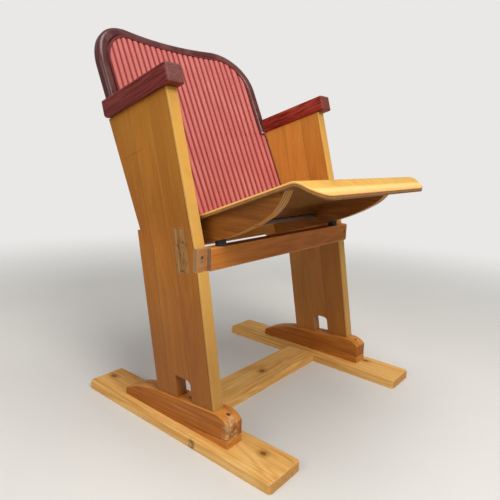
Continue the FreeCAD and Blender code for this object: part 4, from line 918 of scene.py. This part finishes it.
def row_heights():
    """Heights of the pad's rows of points, closer together round its corners and step."""
    low = PAD_LOW + PAD_LOW_CORNER
    rows = [low - PAD_LOW_CORNER * math.cos(a) for a in spread(0, math.pi / 2, LOW_CORNER_ROWS)]
    rows += spread(low, PAD_STEP, LOW_ROWS)
    rows += [PAD_STEP + rise for rise in STEP_ROWS]
    rows += spread(PAD_STEP + STEP_CLEAR, PAD_KNEE, HIGH_ROWS)
    turns = spread(0, math.pi / 2, CORNER_ROWS) + [math.pi / 2]
    rows += [PAD_KNEE + PAD_CORNER * math.sin(turn) for turn in turns]
    return rows


def build_pad():
    """The closed pad: a grid of points for its face, one for its rear, and a rim between."""
    rows = row_heights()
    places = []
    for up in rows:
        wide = half_width(up)
        places += [(wide * (2 * c / PAD_COLUMNS - 1), up) for c in range(PAD_COLUMNS + 1)]
    points, valleys, borders = [], [], []
    for x, up in places:
        gap = border_gap(x, up)
        sunk, valley = fluted(x, up)
        ease = min(gap / PAD_ROLL, 1.0)
        rolled = PAD_ROLL * (1 - math.sqrt(max(1 - (1 - ease) ** 2, 0.0)))
        points.append(back_point(x, crown(x) + sunk * ease + rolled, up))
        valleys.append(valley)
        borders.append(gap)
    front = len(points)
    for x, up in places:
        rear = BACK_SAG - BACK_RADIUS + math.sqrt(PAD_REAR_RADIUS**2 - x * x)
        points.append(back_point(x, rear, up))
    valleys += [0.0] * front
    borders += [0.0] * front
    faces = []
    width = PAD_COLUMNS + 1
    for r in range(len(rows) - 1):
        for c in range(PAD_COLUMNS):
            a = r * width + c
            b = a + width
            faces.append((a, a + 1, b + 1, b))
            faces.append((front + a, front + b, front + b + 1, front + a + 1))
    rim = list(range(width))
    rim += [r * width + PAD_COLUMNS for r in range(1, len(rows))]
    rim += [(len(rows) - 1) * width + c for c in range(PAD_COLUMNS - 1, -1, -1)]
    rim += [r * width for r in range(len(rows) - 2, 0, -1)]
    for here, there in zip(rim, rim[1:] + rim[:1]):
        faces.append((here, front + here, front + there, there))
    pad = add_mesh("back_cushion", points, faces)
    for name, values in (("valley", valleys), ("border", borders)):
        pad.data.attributes.new(name, "FLOAT", "POINT").data.foreach_set("value", values)
    pad.data.shade_smooth()
    return pad


# Cloth: woven threads with a fuzz, and on the pad sewn valleys and a rolled border darkened
# with painted shade, and crests lightened with painted highlight and wear
THREAD_RATE = 5700.0
STITCH_RATE = 1570.0


def flute_marks(s, fade, up):
    valley = s.attribute("valley")
    colour = s.mix(fade, (200, 108, 102), (220, 138, 128))
    # Painted shade: the sewn valleys are darkened.
    colour = s.mix(s.span(valley, 0.03, 0.5), colour, (138, 44, 52))
    speck = s.span(s.noise(s.point, 430.0, 3.0, 0.8), 0.42, 0.6)
    colour = s.tint(colour, (150, 60, 64), speck, 0.32)
    # Painted highlight, with wear: the flute crests are paler in patches.
    worn = s.times(s.span(valley, 0.12, 0.0), s.span(fade, 0.45, 0.7))
    colour = s.tint(colour, (218, 146, 136), worn, 0.4)
    # Painted shade: the cloth darkens along its rolled border.
    near_border_shade = s.span(s.attribute("border"), 0.0075, 0.003)
    colour = s.tint(colour, (118, 40, 50), near_border_shade, 0.75)
    stitch = s.math("GREATER_THAN", s.math("SINE", s.scaled(up, STITCH_RATE)), -0.2)
    sewn = s.times(s.span(valley, 0.86, 0.96), stitch)
    return s.tint(colour, (104, 30, 36), sewn, 0.5)


def cloth(name, piped):
    s = Shader(name)
    up = s.dot(s.point, BACK_UP)
    threads = [
        s.scaled(s.math("SINE", s.scaled(place, THREAD_RATE)), 0.5, 0.5)
        for place in (s.split(s.point)[0], up)
    ]
    fuzz = s.noise(s.point, 900.0, 4.0, 0.7)
    fade = s.noise(s.point, 14.0, 5.0, 0.6)
    if piped:
        colour = s.mix(fade, (70, 20, 28), (104, 38, 44))
    else:
        colour = flute_marks(s, fade, up)
    colour = s.tint(colour, (150, 66, 62), fuzz, 0.35)
    return s.finish(
        colour,
        s.scaled(fuzz, 0.2, 0.75),
        s.math("ADD", s.scaled(s.times(*threads), 0.5), s.scaled(fuzz, 0.8)),
        0.0004,
        Sheen_Weight=0.12,
        Sheen_Roughness=0.45,
        Specular_IOR_Level=0.15,
    )


cushion = build_pad()
cushion.data.materials.append(cloth("back_cloth_fluted", piped=False))
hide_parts("back_pad")
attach(cushion, "frame")

# Piping sewn round the pad's border
PIPING_RADIUS = 0.0026
PIPING_SIDES = 12
PIPING_IN = 0.0028
PIPING_OUT = 0.0014
PIPING_UNEVEN = 0.04
TOP_PARTS = 24
BOTTOM_PARTS = 40


def border_path():
    """Places round the pad, just inside its border."""
    rows = [up for up in row_heights() if PAD_LOW + PIPING_IN <= up <= PAD_TOP - PIPING_IN]
    side = []
    for up in rows[::4]:
        at_step = PAD_STEP - PIPING_IN < up < PAD_STEP + PIPING_IN
        wide = PAD_NARROW if at_step else half_width(up)
        side.append((wide - PIPING_IN, up))
    low = side[0][0]
    high = side[-1][0]
    top = [(high - 2 * high * k / TOP_PARTS, PAD_TOP - PIPING_IN) for k in range(1, TOP_PARTS)]
    bottom = [
        (2 * low * k / BOTTOM_PARTS - low, PAD_LOW + PIPING_IN) for k in range(1, BOTTOM_PARTS)
    ]
    return side + top + [(-wide, up) for wide, up in side[::-1]] + bottom


def build_piping():
    """A closed round tube of cloth along the border, slightly uneven."""
    centres = [back_point(x, crown(x) + PIPING_OUT, up) for x, up in border_path()]
    count = len(centres)
    points = []
    for k, centre in enumerate(centres):
        heading = (centres[(k + 1) % count] - centres[k - 1]).normalized()
        first = heading.cross(BACK_OUT).normalized()
        second = heading.cross(first)
        for j in range(PIPING_SIDES):
            turn = 2 * math.pi * j / PIPING_SIDES
            radius = PIPING_RADIUS * (1 + PIPING_UNEVEN * math.sin(k * 1.9 + turn))
            points.append(centre + (first * math.cos(turn) + second * math.sin(turn)) * radius)
    faces = []
    for k in range(count):
        here = k * PIPING_SIDES
        there = (k + 1) % count * PIPING_SIDES
        for j in range(PIPING_SIDES):
            beside = (j + 1) % PIPING_SIDES
            faces.append((here + j, here + beside, there + beside, there + j))
    tube = add_mesh("cushion_piping", points, faces)
    tube.data.shade_smooth()
    return tube


piping = build_piping()
piping.data.materials.append(cloth("back_cloth_piping", piped=True))
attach(piping, "frame")

# Floor that fades into the pale background
FLOOR_REACH = 7.0
FLOOR_CELLS = 28
FLOOR_Z = -0.0003
FADE_START = 0.8
FADE_END = 2.3


def build_floor():
    steps = [FLOOR_REACH * (2 * k / FLOOR_CELLS - 1) for k in range(FLOOR_CELLS + 1)]
    points = [(x, y, FLOOR_Z) for y in steps for x in steps]
    width = FLOOR_CELLS + 1
    faces = []
    for r in range(FLOOR_CELLS):
        for c in range(FLOOR_CELLS):
            a = r * width + c
            faces.append((a, a + 1, a + width + 1, a + width))
    return add_mesh("floor", points, faces)


def floor_finish():
    s = Shader("floor_finish")
    grit = s.noise(s.point, 160.0, 3.0, 0.6)
    ground = s.mix(s.noise(s.point, 3.0, 5.0, 0.6), (214, 213, 211), (222, 221, 219))
    s.finish(s.tint(ground, (190, 189, 187), grit, 0.1), 0.7, grit, 0.0002)
    x, y, _ = s.split(s.point)
    fade = s.span(s.length(x, y), FADE_START, FADE_END)
    clear = s.add("BsdfTransparent")
    blend = s.add("MixShader", fade, s.bsdf.outputs[0], clear.outputs[0])
    s.tree.links.new(blend.outputs[0], s.out.inputs[0])
    return s.material


floor = build_floor()
floor.data.materials.append(floor_finish())


# Background that the camera sees, and a weaker glow that lights the object
def build_world():
    world = bpy.data.worlds.new("studio")
    world.use_nodes = True
    tree = world.node_tree
    tree.nodes.clear()
    seen = tree.nodes.new("ShaderNodeBackground")
    seen.inputs["Color"].default_value = rgb(233, 232, 230)
    glow = tree.nodes.new("ShaderNodeBackground")
    glow.inputs["Color"].default_value = rgb(238, 236, 232)
    glow.inputs["Strength"].default_value = 0.36
    ray = tree.nodes.new("ShaderNodeLightPath")
    choice = tree.nodes.new("ShaderNodeMixShader")
    world_out = tree.nodes.new("ShaderNodeOutputWorld")
    tree.links.new(ray.outputs["Is Camera Ray"], choice.inputs[0])
    tree.links.new(glow.outputs[0], choice.inputs[1])
    tree.links.new(seen.outputs[0], choice.inputs[2])
    tree.links.new(choice.outputs[0], world_out.inputs[0])
    return world


scene.world = build_world()

# Soft lamps: name, place, target, size, power and colour
LAMPS = [
    ("key_light", (-0.7, -1.7, 2.2), (0, 0, 0.35), 1.2, 40, (1.0, 0.97, 0.91)),
    ("fill_light", (-2.2, 0.1, 1.7), (0, 0, 0.4), 1.6, 16, (1.0, 0.98, 0.95)),
    ("top_light", (0.1, -0.1, 2.4), (0, 0, 0.4), 1.4, 24, (1.0, 0.98, 0.94)),
]
for name, place, target, size, power, colour in LAMPS:
    lamp = bpy.data.lights.new(name, "AREA")
    lamp.shape = "DISK"
    lamp.size = size
    lamp.energy = power
    lamp.color = colour
    light = add_object(name, lamp)
    light.location = place
    light.rotation_euler = (Vector(target) - Vector(place)).to_track_quat("-Z", "Y").to_euler()
